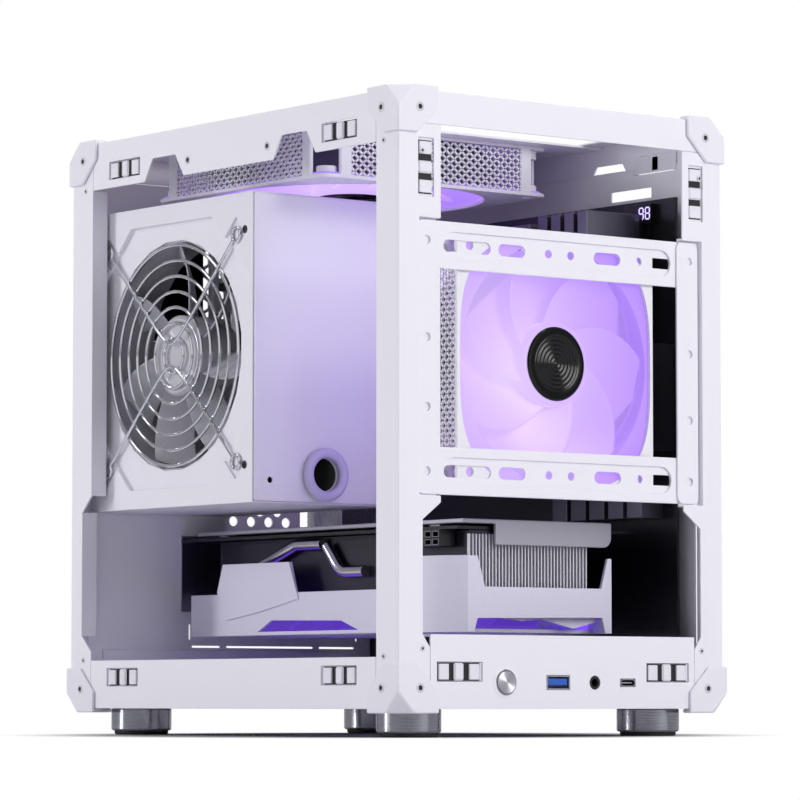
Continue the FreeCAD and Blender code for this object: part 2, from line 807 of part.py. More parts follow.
# Front ports on a small circuit board, which stands on the floor
port_span = (FRONT, f"{FRONT} + port_depth")
board_top = f"{control_z} - usb_a_height / 2"
usb_a_body = block(
    "usb_a_body",
    (f"{LEFT} + usb_a_x - usb_a_width / 2", f"{LEFT} + usb_a_x + usb_a_width / 2"), port_span,
    (board_top, f"{control_z} + usb_a_height / 2"),
)
usb_a_mouth = block(
    "usb_a_mouth",
    (f"{LEFT} + usb_a_x - usb_a_width / 2 + usb_wall", f"{LEFT} + usb_a_x + usb_a_width / 2 - usb_wall"),
    (FRONT, f"{FRONT} + port_depth - 2 * usb_wall"),
    (f"{board_top} + usb_wall", f"{control_z} + usb_a_height / 2 - usb_wall"),
)
usb_a_tongue = block(
    "usb_a_tongue",
    (
        f"{LEFT} + usb_a_x - usb_a_width / 2 + 2 * usb_wall",
        f"{LEFT} + usb_a_x + usb_a_width / 2 - 2 * usb_wall",
    ),
    (f"{FRONT} + usb_wall", f"{FRONT} + port_depth - usb_wall"),
    (f"{control_z} + usb_wall", f"{control_z} + usb_a_height / 2 - 2 * usb_wall"),
)
usb_a_shell = without("usb_a_shell", usb_a_body, usb_a_mouth)
keep(fused("usb_a_port", [usb_a_shell, usb_a_tongue]), "usb_a_port")
usb_c_body = block(
    "usb_c_body",
    (f"{LEFT} + usb_c_x - usb_c_width / 2", f"{LEFT} + usb_c_x + usb_c_width / 2"), port_span,
    (f"{control_z} - usb_c_height / 2", f"{control_z} + usb_c_height / 2"),
)
usb_c_foot = block(
    "usb_c_foot",
    (f"{LEFT} + usb_c_x - usb_c_width / 2", f"{LEFT} + usb_c_x + usb_c_width / 2"),
    (f"{FRONT} + gauge + port_gap", f"{FRONT} + port_depth"),
    (board_top, f"{control_z} - usb_c_height / 2"),
)
usb_c_mouth = block(
    "usb_c_mouth",
    (f"{LEFT} + usb_c_x - usb_c_width / 2 + usb_wall", f"{LEFT} + usb_c_x + usb_c_width / 2 - usb_wall"),
    (FRONT, f"{FRONT} + port_depth - 2 * usb_wall"),
    (f"{control_z} - usb_c_height / 2 + usb_wall", f"{control_z} + usb_c_height / 2 - usb_wall"),
)
usb_c_tongue = block(
    "usb_c_tongue",
    (
        f"{LEFT} + usb_c_x - usb_c_width / 2 + 2 * usb_wall",
        f"{LEFT} + usb_c_x + usb_c_width / 2 - 2 * usb_wall",
    ),
    (f"{FRONT} + usb_wall", f"{FRONT} + port_depth - usb_wall"),
    (f"{control_z} - usb_wall / 2", f"{control_z} + usb_wall / 2"),
)
usb_c_shell = without("usb_c_shell", fused("usb_c_solid", [usb_c_body, usb_c_foot]), usb_c_mouth)
keep(fused("usb_c_port", [usb_c_shell, usb_c_tongue]), "usb_c_port")
jack_place = Vector(left_x + sheet.jack_x, front_y, base_z + sheet.control_rise)
jack_nose = faced(many_sided(sheet.jack_diameter / 2, ROUND_SIDES, 0, sheet.port_depth), INWARD, jack_place)
jack_foot = Part.makeBox(
    sheet.jack_diameter,
    sheet.port_depth - sheet.gauge - sheet.port_gap,
    sheet.usb_a_height / 2 + sheet.jack_diameter / 2,
    jack_place + Vector(-sheet.jack_diameter / 2, sheet.gauge + sheet.port_gap, -sheet.usb_a_height / 2),
)
jack_bore = faced(tube(sheet.jack_bore / 2, 0, 0, sheet.port_depth - sheet.jack_end), INWARD, jack_place)
keep(feature("audio_jack", jack_nose.fuse(jack_foot).cut(jack_bore).removeSplitter()), "audio_jack")
board_span_x = (f"{LEFT} + button_x - io_board_margin", f"{LEFT} + usb_c_x + io_board_margin")
switch_front = f"{FRONT} + button_stem + button_travel + seam"
board_span_y = (switch_front, f"{FRONT} + io_board_depth")
io_board = block("io_board_sheet", board_span_x, board_span_y, (f"{board_top} - io_board_gauge", board_top))
stands = []
for name, low in (("near", f"{LEFT} + button_x - io_board_margin"), ("far", f"{LEFT} + usb_c_x")):
    stands.append(block(
        f"io_board_stand_{name}", (low, f"{low} + io_board_margin"),
        (f"{FRONT} + port_depth", f"{FRONT} + io_board_depth"),
        (f"{BASE} + gauge", f"{board_top} - io_board_gauge"),
    ))
switch = block(
    "power_switch",
    (f"{LEFT} + button_x - button_diameter / 2", f"{LEFT} + button_x + button_diameter / 2"),
    (switch_front, f"{FRONT} + io_board_depth - gauge"),
    (board_top, f"{control_z} + button_diameter / 4"),
)
keep(fused("front_io_board", [io_board, switch] + stands), "front_io_board")

# Feet: turned aluminium with a rubber pad below, under the four corners of the floor
foot_radius = sheet.foot_diameter / 2
PAD_SIDES = 12
feet = []
pads = []
for x_sign in (-1, 1):
    for y_sign in (-1, 1):
        place = Vector(x_sign * (right_x - sheet.foot_inset), y_sign * (rear_y - sheet.foot_inset), 0)
        foot = many_sided(foot_radius, ROUND_SIDES, sheet.pad_height, base_z)
        foot.translate(place)
        feet.append(foot)
        pad = many_sided(foot_radius - sheet.pad_inset, PAD_SIDES, 0, sheet.pad_height)
        pad.translate(place)
        pads.append(pad)
keep(feature("feet", Part.makeCompound(feet)), "feet")
keep(feature("foot_pads", Part.makeCompound(pads)), "foot_pads")


def snap_clip():
    """Spring clip behind a window: a strip bent forward into a flat crest that stands in the window."""
    half_length = sheet.clip_length / 2
    spring = sheet.clip_gauge
    foot = half_length + sheet.clip_lap
    half_width = sheet.clip_width / 2 - sheet.clip_play
    crest = half_length - 2 * spring
    profile = [
        (-foot, 0), (-half_length + sheet.clip_play, 0), (-crest, spring), (crest, spring),
        (half_length - sheet.clip_play, 0), (foot, 0), (foot, -spring), (-foot, -spring),
    ]
    points = [Vector(along, -half_width, rise) for along, rise in profile]
    return prism(points, Vector(0, 2 * half_width, 0))


# Panel clips: one spring in every snap window of the rails, posts and front plate
clip_shape = snap_clip()
clips = []
for x_sign in (-1, 1):
    for y_sign in (-1, 1):
        clip_y = y_sign * (rear_y - sheet.clip_inset)
        for clip_z in (top_z - sheet.clip_top_drop, base_z + sheet.clip_bottom_rise):
            spring = clip_shape.copy()
            turn = Rotation(Vector(0, 1, 0), Vector(0, 0, 1), Vector(x_sign, 0, 0), "ZXY")
            place = Vector(x_sign * (right_x - sheet.gauge), clip_y, clip_z)
            spring.Placement = FreeCAD.Placement(place, turn)
            clips.append(spring)
    facing = Rotation(Vector(1, 0, 0), Vector(0, 0, 1), Vector(0, -1, 0), "ZXY")
    upright = Rotation(Vector(0, 0, 1), Vector(-1, 0, 0), Vector(0, -1, 0), "ZXY")
    spring = clip_shape.copy()
    place = Vector(
        x_sign * (right_x - sheet.clip_front_inset), front_y + sheet.gauge, base_z + sheet.clip_front_rise,
    )
    spring.Placement = FreeCAD.Placement(place, facing)
    clips.append(spring)
    spring = clip_shape.copy()
    place = Vector(
        x_sign * (right_x - sheet.clip_post_inset), front_y + sheet.gauge, base_z + sheet.clip_post_rise,
    )
    spring.Placement = FreeCAD.Placement(place, upright)
    clips.append(spring)
keep(feature("panel_clips", Part.makeCompound(clips)), "panel_clips")


def slot_face(centre_u, centre_v, length, width):
    """A slot or hole with pointed ends, six sides in all, in drawing coordinates."""
    cut = width / 2 * math.tan(math.radians(30))
    corners = [(length / 2, 0), (length / 2 - cut, width / 2), (cut - length / 2, width / 2)]
    corners += [(-u, -v) for u, v in corners]
    points = [Vector(centre_u + u, centre_v + v, 0) for u, v in corners]
    return Part.Face(Part.makePolygon(points + [points[0]]))


def upright_pad(face, low_y, high_y):
    """A drawing in X and Z, padded along Y."""
    shape = face.copy()
    shape.Placement = FreeCAD.Placement(Vector(0, low_y, 0), Rotation(Vector(1, 0, 0), 90))
    return shape.extrude(Vector(0, high_y - low_y, 0))


# Front bracket for drives and the fan: two embossed rails on two columns, set in the posts' sunk strips
# Slots and holes along each rail, from the open side: centre and length, a hole where the length is 0
RAIL_OPENINGS = [(43.7, 28.0), (70.4, 16.0), (92.6, 0), (106.3, 0), (128.9, 16.5), (148.6, 0), (162.6, 14.4)]
# Holes up each column, as shares of its height
COLUMN_HOLES = [0.084127, 0.31746, 0.571429, 0.925397]


def drive_bracket():
    front = front_y + sheet.bracket_recess - sheet.bracket_gauge
    middle = front + sheet.bracket_gauge
    back = middle + sheet.bracket_gauge
    low = base_z + sheet.bracket_bottom
    high = base_z + sheet.bracket_top
    column_outer = right_x - sheet.recess_inset - sheet.bracket_play
    column_inner = right_x - sheet.bracket_lap
    rail_end = right_x - sheet.post_front - sheet.seam
    corner = sheet.bracket_corner
    bracket = None
    for side in (-1, 1):
        outline = [
            (column_inner, low), (column_outer - corner, low), (column_outer, low + corner),
            (column_outer, high - corner), (column_outer - corner, high), (column_inner, high),
        ]
        points = [Vector(side * u, front, v) for u, v in outline]
        column = prism(points, Vector(0, sheet.bracket_gauge, 0))
        for share in COLUMN_HOLES:
            place = Vector(side * (right_x - sheet.drive_hole_inset), front, low + share * (high - low))
            hole = slot_face(place.x, place.z, sheet.drive_hole / math.cos(math.pi / 6), sheet.drive_hole)
            column = column.cut(upright_pad(hole, front, middle))
        bracket = column if bracket is None else bracket.fuse(column)
    emboss_length = 2 * (right_x - sheet.emboss_inset)
    for rail_low in (low, high - sheet.bracket_rail):
        middle_z = rail_low + sheet.bracket_rail / 2
        rail = Part.makeBox(
            2 * rail_end, sheet.bracket_gauge, sheet.bracket_rail, Vector(-rail_end, middle, rail_low),
        )
        wall = sheet.bracket_gauge
        bulge = slot_face(0, middle_z, emboss_length + 2 * wall, sheet.emboss_height + 2 * wall)
        dish = slot_face(0, middle_z, emboss_length, sheet.emboss_height)
        rail = rail.fuse(upright_pad(bulge, back, back + sheet.emboss_depth))
        rail = rail.cut(upright_pad(dish, middle, middle + sheet.emboss_depth))
        for place, length in RAIL_OPENINGS:
            wide = sheet.rail_slot_width if length else sheet.drive_hole
            opening = slot_face(left_x + place, middle_z, max(length, wide / math.cos(math.pi / 6)), wide)
            tool = upright_pad(opening, middle, back + sheet.emboss_depth)
            rail = rail.cut(tool)
        bracket = bracket.fuse(rail)
    return bracket.removeSplitter()


keep(feature("front_drive_bracket", drive_bracket()), "front_drive_bracket")


# Fans: a frame with two flanges, a round duct, corner bosses and lattice side walls, and a bladed rotor
def fan_bore(width):
    return width / 2 - sheet.fan_rim


def with_motor(frame, bore, depth):
    """Adds the motor base, its four struts and the bearing to a frame about Z."""
    base = sheet.hub_diameter / 2
    low = depth - sheet.base_height
    parts = [many_sided(base, BASE_SIDES, low, depth)]
    for turn in range(4):
        strut = Part.makeBox(
            bore - base + 2 * sheet.fan_wall, sheet.strut_width, sheet.base_height,
            Vector(base - sheet.fan_wall, -sheet.strut_width / 2, low),
        )
        strut.rotate(Vector(), Vector(0, 0, 1), 90 * turn)
        parts.append(strut)
    frame = frame.fuse(parts)
    return frame.cut(bearing(low, depth - sheet.base_skin)).removeSplitter()


def plain_frame(width, depth):
    """Square frame about Z with a round bore; the motor base is at the far face."""
    bore = fan_bore(width)
    blank = Part.makeBox(width, width, depth, Vector(-width / 2, -width / 2, 0))
    return with_motor(blank.cut(many_sided(bore, ROUND_SIDES, 0, depth)), bore, depth)


def lattice_frame(width, depth):
    """Frame about Z: two flanges with open corners between them, a round duct and four lattice walls."""
    half = width / 2
    bore = fan_bore(width)
    flange = sheet.fan_flange
    edge = half - sheet.fan_round
    corners = [(half, -edge), (half, edge), (edge, half), (-edge, half)]
    corners += [(-u, -v) for u, v in corners]
    parts = [many_sided(bore + sheet.fan_wall, BORE_SIDES, 0, depth)]
    for low in (0, depth - flange):
        parts.append(prism([Vector(u, v, low) for u, v in corners], Vector(0, 0, flange)))
    for quarter in range(4):
        panel = lattice_wall(width, depth)
        panel.rotate(Vector(), Vector(0, 0, 1), 90 * quarter)
        parts.append(panel)
    frame = parts[0].fuse(parts[1:]).cut(many_sided(bore, BORE_SIDES, 0, depth))
    return with_motor(frame, bore, depth)


def lattice_wall(width, depth):
    """One flat side wall of a fan frame, cut by two staggered rows of diamonds."""
    wall = sheet.fan_wall
    length = width - 2 * sheet.fan_corner
    low = sheet.fan_flange
    tall = depth - 2 * low
    panel = Part.makeBox(length, wall, tall, Vector(-length / 2, -width / 2, low))
    columns = int(sheet.lattice_columns)
    pitch = length / columns
    reach_u = (pitch - 2 * sheet.lattice_bar) / 2
    reach_v = (tall / 2 + tall / 8 - 2 * sheet.lattice_bar) / 2
    cutters = []
    for row, count in ((0, columns), (1, columns - 1)):
        middle_v = low + sheet.lattice_bar + reach_v
        if row:
            middle_v = low + tall - sheet.lattice_bar - reach_v
        for column in range(count):
            middle_u = (column - (count - 1) / 2) * pitch
            corners = [
                Vector(middle_u - reach_u, -width / 2, middle_v),
                Vector(middle_u, -width / 2, middle_v - reach_v),
                Vector(middle_u + reach_u, -width / 2, middle_v),
                Vector(middle_u, -width / 2, middle_v + reach_v),
            ]
            cutters.append(prism(corners, Vector(0, wall, 0)))
    return panel.cut(cutters)


def blade(root, reach, depth, pitch_root, pitch_tip, sweep, stations):
    """One twisted blade: flat sections from hub to tip, leaning forward by the sweep angle."""
    flat = sheet.blade_gauge / 2

    def half_chord(pitch):
        return (depth / 2 - flat * math.cos(pitch)) / math.sin(pitch)

    last_pitch = math.radians(pitch_tip)
    overhang = half_chord(last_pitch) * math.cos(last_pitch) + flat * math.sin(last_pitch)
    tip = math.sqrt(reach ** 2 - overhang ** 2)
    sections = []
    for share in stations:
        radius = root + (tip - root) * share
        pitch = math.radians(pitch_root + (pitch_tip - pitch_root) * share)
        along = Vector(0, math.cos(pitch), math.sin(pitch))
        normal = Vector(0, -math.sin(pitch), math.cos(pitch))
        corners = []
        for chord, side in ((-1, -1), (1, -1), (1, 1), (-1, 1)):
            point = along * (chord * half_chord(pitch)) + normal * (side * flat)
            corners.append(Vector(radius, point.y, point.z))
        lean = Rotation(Vector(0, 0, 1), sweep * share ** 2)
        sections.append([lean.multVec(corner) for corner in corners])
    return faceted(sections)


def bladed(hub, count, vane, middle):
    """A hub with a ring of equal blades."""
    vanes = []
    for turn in range(count):
        copy = vane.copy()
        copy.translate(Vector(0, 0, middle))
        copy.rotate(Vector(), Vector(0, 0, 1), 360.0 * turn / count)
        vanes.append(copy)
    return hub.fuse(vanes).removeSplitter()


BLADES = 7
SWEPT = (0.0, 0.5, 1.0)
STRAIGHT = (0.0, 1.0)


# Blade angles at the root and the tip, and the lean of the tip, in degrees
TWISTED = (44, 23, 18)
FLAT = (36, 36, 0)


def fan_rotor(width, depth, sides, angles, stations):
    """Rotor about Z: a hub on a shaft, with blades out to the running gap."""
    hub = sheet.hub_diameter / 2
    low = sheet.hub_cap_height
    high = depth - sheet.base_height - sheet.run_gap
    core = many_sided(hub, sides, low, high).fuse(shaft(high, depth - sheet.base_skin - sheet.seam))
    tip = fan_bore(width) * math.cos(math.pi / BORE_SIDES) - sheet.tip_gap
    vane = blade(hub - sheet.hub_wall, tip, high - low - 2 * sheet.hub_wall, *angles, stations)
    return bladed(core, BLADES, vane, (high + low) / 2)


def hub_cap(diameter):
    """Cap with a sloping rim on the front of a hub."""
    radius = diameter / 2
    height = sheet.hub_cap_height
    rims = [ring_corners(radius - height, ROUND_SIDES, 0), ring_corners(radius, ROUND_SIDES, height)]
    return faceted(rims).removeSplitter()


fan_back = front_y + sheet.bracket_recess + sheet.bracket_gauge + sheet.emboss_depth
FANS = {
    "front_fan": (sheet.front_fan_width, INWARD, Vector(0, fan_back, base_z + sheet.front_fan_rise)),
}
fan_plate_z = top_z - sheet.flange_drop - sheet.gauge - sheet.fan_plate_gauge
top_fan_middle = front_y + sheet.top_fan_setback + sheet.top_fan_width / 2
FANS["top_fan"] = (
    sheet.top_fan_width, Vector(0, 0, 1), Vector(0, top_fan_middle, fan_plate_z - sheet.fan_depth),
)
for name, (width, direction, place) in FANS.items():
    parts = {
        "frame": lattice_frame(width, sheet.fan_depth),
        "rotor": fan_rotor(width, sheet.fan_depth, BORE_SIDES, TWISTED, SWEPT),
        "hub_cap": hub_cap(sheet.hub_cap_diameter),
    }
    for piece, shape in parts.items():
        keep(feature(f"{name}_{piece}", faced(shape, direction, place)), f"{name}_{piece}")

# Top fan bracket: a sheet across the rails with a round opening
fan_plate_low = f"{TOP} - flange_drop - gauge - fan_plate_gauge"
fan_plate_front = f"{FRONT} + top_fan_setback - fan_plate_margin"
fan_plate_rear = f"{FRONT} + top_fan_setback + top_fan_width + fan_plate_margin"
fan_plate = new_body("top_fan_bracket_body")
sheet_wall(
    fan_plate, "XY_Plane", fan_plate_low, "fan_plate_gauge",
    rectangle((f"{LEFT} + gauge + seam", fan_plate_front), (f"{RIGHT} - gauge - seam", fan_plate_rear)),
    [round_window(
        ("0", f"{FRONT} + top_fan_setback + top_fan_width / 2"), "top_fan_width - 2 * fan_rim", BORE_SIDES,
    )],
)
keep(fan_plate, "top_fan_bracket")

# Rear panel: openings for the power supply, the board's ports and the card, and round vents
rear = new_body("rear_panel_body")
rear_level = f"{REAR} - gauge"
rear_outline = rectangle(
    (f"{LEFT} + post_rear + seam", f"{BASE} + gauge + post_end"),
    (f"{RIGHT} - post_rear - seam", f"{TOP} - cross_rail_drop - seam"),
)
psu_left = f"{LEFT} + psu_inset"
psu_right = f"{LEFT} + psu_inset + psu_width"
psu_bottom = f"{BASE} + psu_rise"
psu_top = f"{BASE} + psu_rise + psu_height"
opening_edge = "3 * gauge"
board_face = f"{RIGHT} - gauge - tray_gauge - board_stand - board_gauge"
io_top = f"{BASE} + board_rise + board_height - 4 * gauge"
slot_left = f"{LEFT} + slot_inset"
rear_windows = [
    rectangle(
        (f"{psu_left} + {opening_edge}", f"{psu_bottom} + {opening_edge}"),
        (f"{psu_right} - {opening_edge}", f"{psu_top} - {opening_edge}"),
    ),
    rectangle(
        (f"{board_face} - io_opening_width", f"{io_top} - io_opening_height"),
        (f"{board_face} - seam", io_top),
    ),
]
for slot in (1, 2):
    middle = f"{BASE} + slot_rise + {slot} * slot_pitch"
    rear_windows.append(rectangle(
        (slot_left, f"{middle} - slot_height / 2"),
        (f"{slot_left} + slot_width", f"{middle} + slot_height / 2"),
    ))
knock_low = f"{BASE} + slot_rise - slot_height / 2"
knock_high = f"{BASE} + slot_rise + slot_height / 2"
bridge = "4 * gauge"
score_ends = ("0", "slot_width / 5", "slot_width * 3 / 4", "slot_width")
for first, last in zip(score_ends, score_ends[1:]):
    rear_windows.append(rectangle(
        (f"{slot_left} + {first} + {bridge} / 2", knock_low),
        (f"{slot_left} + {last} - {bridge} / 2", f"{knock_low} + gauge"),
    ))
for edge in (slot_left, f"{slot_left} + slot_width - gauge"):
    rear_windows.append(rectangle((edge, f"{knock_low} + {bridge}"), (f"{edge} + gauge", knock_high)))
vent_left = f"{psu_right} + rear_vent_pitch"
for row in range(3):
    for column in range(2 - row % 2):
        vent_x = f"({vent_left} + ({column} + {row % 2} / 2) * rear_vent_pitch)"
        vent_z = f"({psu_bottom} + rear_vent + {row} * 5 * rear_vent_pitch)"
        rear_windows.append([
            (f"{vent_x} + rear_vent / 2", vent_z), (f"{vent_x} + rear_vent / 4", f"{vent_z} + rear_vent / 2"),
            (f"{vent_x} - rear_vent / 4", f"{vent_z} + rear_vent / 2"), (f"{vent_x} - rear_vent / 2", vent_z),
            (f"{vent_x} - rear_vent / 4", f"{vent_z} - rear_vent / 2"),
            (f"{vent_x} + rear_vent / 4", f"{vent_z} - rear_vent / 2"),
        ])
sheet_wall(rear, "XZ_Plane", rear_level, "gauge", rear_outline, rear_windows)
keep(rear, "rear_panel")

# Power supply: two folded covers round the fan, the circuit board and the inlet
psu_x0 = left_x + sheet.psu_inset
psu_x1 = psu_x0 + sheet.psu_width
psu_y1 = rear_y - sheet.gauge
psu_y0 = psu_y1 - sheet.psu_length
psu_z0 = base_z + sheet.psu_rise
psu_z1 = psu_z0 + sheet.psu_height
psu_middle = Vector(psu_x0, (psu_y0 + psu_y1) / 2, (psu_z0 + psu_z1) / 2)
SIDEWAYS = Vector(1, 0, 0)


def octagon(width, cut, place_x):
    """Square outline with cut corners, about the fan's axis on the open side."""
    half = width / 2
    corner = half - cut
    signs = [(half, -corner), (half, corner), (corner, half), (-corner, half)]
    points = signs + [(-u, -v) for u, v in signs]
    return [Vector(place_x, psu_middle.y + u, psu_middle.z + v) for u, v in points]


def psu_cover():
    """U-shaped cover: the fan side with its dished octagon and four channels, and the two long sides."""
    skin = sheet.psu_gauge
    dish = sheet.psu_dish
    outer = Part.makeBox(sheet.psu_width - skin, sheet.psu_length - 2 * skin, sheet.psu_height,
                         Vector(psu_x0, psu_y0 + skin, psu_z0))
    inner = Part.makeBox(sheet.psu_width, sheet.psu_length, sheet.psu_height - 2 * skin,
                         Vector(psu_x0 + skin, psu_y0, psu_z0 + skin))
    cover = outer.cut(inner)
    width = sheet.psu_dish_width
    cut = sheet.psu_dish_cut
    bowl = prism(octagon(width + 2 * skin, cut, psu_x0), Vector(dish + skin, 0, 0))
    hollow = prism(octagon(width, cut, psu_x0), Vector(dish, 0, 0))
    cover = cover.fuse(bowl)
    depth = sheet.grille_wire - sheet.grille_proud
    reach = sheet.grille_hole_pitch / 2 * math.sqrt(2) + sheet.grille_loop + sheet.grille_wire
    half = sheet.grille_loop / 2 + sheet.grille_wire
    for turn in (45, 135):
        corner = Vector(0, -reach - skin, -half - skin)
        outside = Part.makeBox(depth + skin, 2 * (reach + skin), 2 * (half + skin), corner)
        inside = Part.makeBox(depth, 2 * reach, 2 * half, Vector(0, -reach, -half))
        for box in (outside, inside):
            box.rotate(Vector(), Vector(1, 0, 0), turn)
            box.translate(psu_middle)
        cover = cover.fuse(outside).cut(inside)
    cover = cover.cut(hollow)
    mouth = faced(many_sided(sheet.psu_fan_bore / 2, BORE_SIDES, 0, dish + skin), SIDEWAYS, psu_middle)
    return cover.cut(mouth).removeSplitter()


keep(feature("psu_cover", psu_cover()), "psu_cover")

inlet_x = psu_x0 + sheet.psu_width / 2
inlet_z = psu_z1 - sheet.psu_height / 4


def psu_chassis():
    """U-shaped chassis: the cable end, the board side and the rear face with its honeycomb."""
    skin = sheet.psu_gauge
    outer = Part.makeBox(sheet.psu_width - skin, sheet.psu_length, sheet.psu_height - 2 * skin,
                         Vector(psu_x0 + skin, psu_y0, psu_z0 + skin))
    inner = Part.makeBox(sheet.psu_width - skin, sheet.psu_length - 2 * skin, sheet.psu_height,
                         Vector(psu_x0, psu_y0 + skin, psu_z0))
    chassis = outer.cut(inner)
    inlet = Part.makeBox(
        sheet.inlet_width, 2 * skin, sheet.inlet_height,
        Vector(inlet_x - sheet.inlet_width / 2, psu_y1 - 2 * skin, inlet_z - sheet.inlet_height / 2),
    )
    grommet = faced(many_sided(sheet.grommet_bore / 2, BASE_SIDES, 0, skin), INWARD, grommet_place)
    chassis = chassis.cut(inlet).cut(grommet)
    flats = sheet.honeycomb_flats / 2
    tools = []
    for row in range(3):
        for column in range(3 - row % 2):
            place = Vector(
                psu_x0 + sheet.psu_width / 2 + (column - 1 + (row % 2) / 2) * sheet.honeycomb_pitch,
                psu_y1 - skin,
                psu_z0 + sheet.honeycomb_pitch + row * sheet.honeycomb_pitch * math.sqrt(3) / 2,
            )
            ring = []
            for corner in range(6):
                angle = math.radians(60 * corner + 30)
                radius = flats / math.cos(math.radians(30))
                ring.append(place + Vector(radius * math.cos(angle), 0, radius * math.sin(angle)))
            tools.append(prism(ring, Vector(0, skin, 0)))
    return chassis.cut(tools).removeSplitter()


grommet_place = Vector(psu_x0 + sheet.grommet_inset, psu_y0, psu_z0 + sheet.grommet_rise)
keep(feature("psu_chassis", psu_chassis()), "psu_chassis")
grommet_outer = sheet.grommet_diameter / 2
grommet_inner = sheet.grommet_bore / 2
grommet = many_sided(grommet_outer, ROUND_SIDES, -sheet.grommet_proud, 0)
grommet = grommet.cut(many_sided(grommet_inner, ROUND_SIDES, -sheet.grommet_proud, 0))
keep(feature("psu_cable_grommet", faced(grommet, INWARD, grommet_place)), "psu_cable_grommet")

psu_fan_place = psu_middle + Vector(sheet.psu_dish + sheet.psu_gauge, 0, 0)
psu_fan = plain_frame(sheet.psu_fan_width, sheet.fan_depth)
keep(feature("psu_fan_frame", faced(psu_fan, SIDEWAYS, psu_fan_place)), "psu_fan_frame")
psu_rotor = fan_rotor(sheet.psu_fan_width, sheet.fan_depth, BASE_SIDES, FLAT, STRAIGHT)
keep(feature("psu_fan_rotor", faced(psu_rotor, SIDEWAYS, psu_fan_place)), "psu_fan_rotor")


def wire_ring(radius, sides, low):
    """A ring of flat-sided wire about Z."""
    half = sheet.grille_wire / 2
    inner = many_sided(radius - half, sides, low, low + sheet.grille_wire)
    return many_sided(radius + half, sides, low, low + sheet.grille_wire).cut(inner)


RING_SIDES = 15
EYE_SIDES = 6


def fan_grille():
    """Wire guard about Z: rings welded on two bent wires, whose four ends are eyes under the screws."""
    wire = sheet.grille_wire
    corner = sheet.grille_hole_pitch / 2
    pieces = []
    for index in range(int(sheet.grille_rings)):
        radius = (sheet.grille_outer - wire - index * sheet.grille_step) / 2
        pieces.append(wire_ring(radius, RING_SIDES, wire))
    for side in (-1, 1):
        knee = 2 * wire
        bar = wire / 2
        bend = bar * math.tan(math.radians(22.5))
        outer = [
            (-corner - bar, corner - bar), (-knee - bend, knee - bar),
            (knee + bend, knee - bar), (corner + bar, corner - bar),
        ]
        inner = [
            (corner - bar, corner + bar), (knee - bend, knee + bar),
            (bend - knee, knee + bar), (bar - corner, corner + bar),
        ]
        points = [Vector(side * v, u, 0) for u, v in outer + inner]
        pieces.append(prism(points, Vector(0, 0, wire)))
    arms = pieces[-2:]
    reach = corner + sheet.grille_loop / 2 * math.sqrt(0.5)
    for index, side in enumerate((-1, 1)):
        for end in (-1, 1):
            eye = wire_ring(sheet.grille_loop / 2, EYE_SIDES, 0)
            eye.translate(Vector(side * reach, end * reach, 0))
            arms[index] = arms[index].fuse(eye)
    return Part.makeCompound(pieces[:-2] + [arm.removeSplitter() for arm in arms])


grille_place = psu_middle + Vector(-sheet.grille_proud, 0, 0)
keep(feature("psu_fan_grille", faced(fan_grille(), SIDEWAYS, grille_place)), "psu_fan_grille")

# Mains inlet with its rocker switch in one frame, flush with the rear face
inlet_low = Vector(inlet_x - sheet.inlet_width / 2 + sheet.port_gap, psu_y1 - sheet.inlet_depth,
                   inlet_z - sheet.inlet_height / 2 + sheet.port_gap)
inlet_body = Part.makeBox(sheet.inlet_width - 2 * sheet.port_gap, sheet.inlet_depth,
                          sheet.inlet_height - 2 * sheet.port_gap, inlet_low)
socket_tall = sheet.inlet_height - sheet.rocker_height - 3 * sheet.inlet_wall
socket_mouth = Part.makeBox(
    sheet.inlet_width - 2 * sheet.inlet_wall, sheet.inlet_depth - sheet.inlet_wall, socket_tall,
    inlet_low + Vector(sheet.inlet_wall, sheet.inlet_wall, sheet.inlet_wall),
)
inlet_body = inlet_body.cut(socket_mouth)
for pin_shift in (-1, 0, 1):
    pin = Part.makeBox(
        sheet.inlet_wall / 2, sheet.inlet_depth - 2 * sheet.inlet_wall, sheet.inlet_wall * 2,
        Vector(inlet_x + pin_shift * sheet.inlet_width / 4 - sheet.inlet_wall / 4, inlet_low.y,
               inlet_low.z + sheet.inlet_wall + socket_tall / 2 + (abs(pin_shift) - 1) * sheet.inlet_wall),
    )
    inlet_body = inlet_body.fuse(pin)
rocker_z = inlet_low.z + sheet.inlet_height - sheet.inlet_wall - sheet.rocker_height / 2 - sheet.rocker_gap
rocker_half = sheet.rocker_height / 2
rocker_well = Part.makeBox(
    sheet.rocker_width + 2 * sheet.rocker_gap,
    sheet.inlet_depth / 2,
    sheet.rocker_height + 2 * sheet.rocker_gap,
    Vector(inlet_x - sheet.rocker_width / 2 - sheet.rocker_gap, psu_y1 - sheet.inlet_depth / 2,
           rocker_z - rocker_half - sheet.rocker_gap),
)
keep(feature("psu_inlet", inlet_body.cut(rocker_well).removeSplitter()), "psu_inlet")
rocker_face = psu_y1 - sheet.rocker_gap
rocker_outline = [
    Vector(inlet_x - sheet.rocker_width / 2, rocker_face - 2, rocker_z - rocker_half),
    Vector(inlet_x - sheet.rocker_width / 2, rocker_face - 1.6, rocker_z),
    Vector(inlet_x - sheet.rocker_width / 2, rocker_face, rocker_z + rocker_half - 0.6),
    Vector(inlet_x - sheet.rocker_width / 2, rocker_face - 4, rocker_z + rocker_half),
    Vector(inlet_x - sheet.rocker_width / 2, rocker_face - 6, rocker_z),
    Vector(inlet_x - sheet.rocker_width / 2, rocker_face - 4, rocker_z - rocker_half),
]
rocker = prism(rocker_outline, Vector(sheet.rocker_width, 0, 0))
keep(feature("psu_rocker_switch", rocker), "psu_rocker_switch")

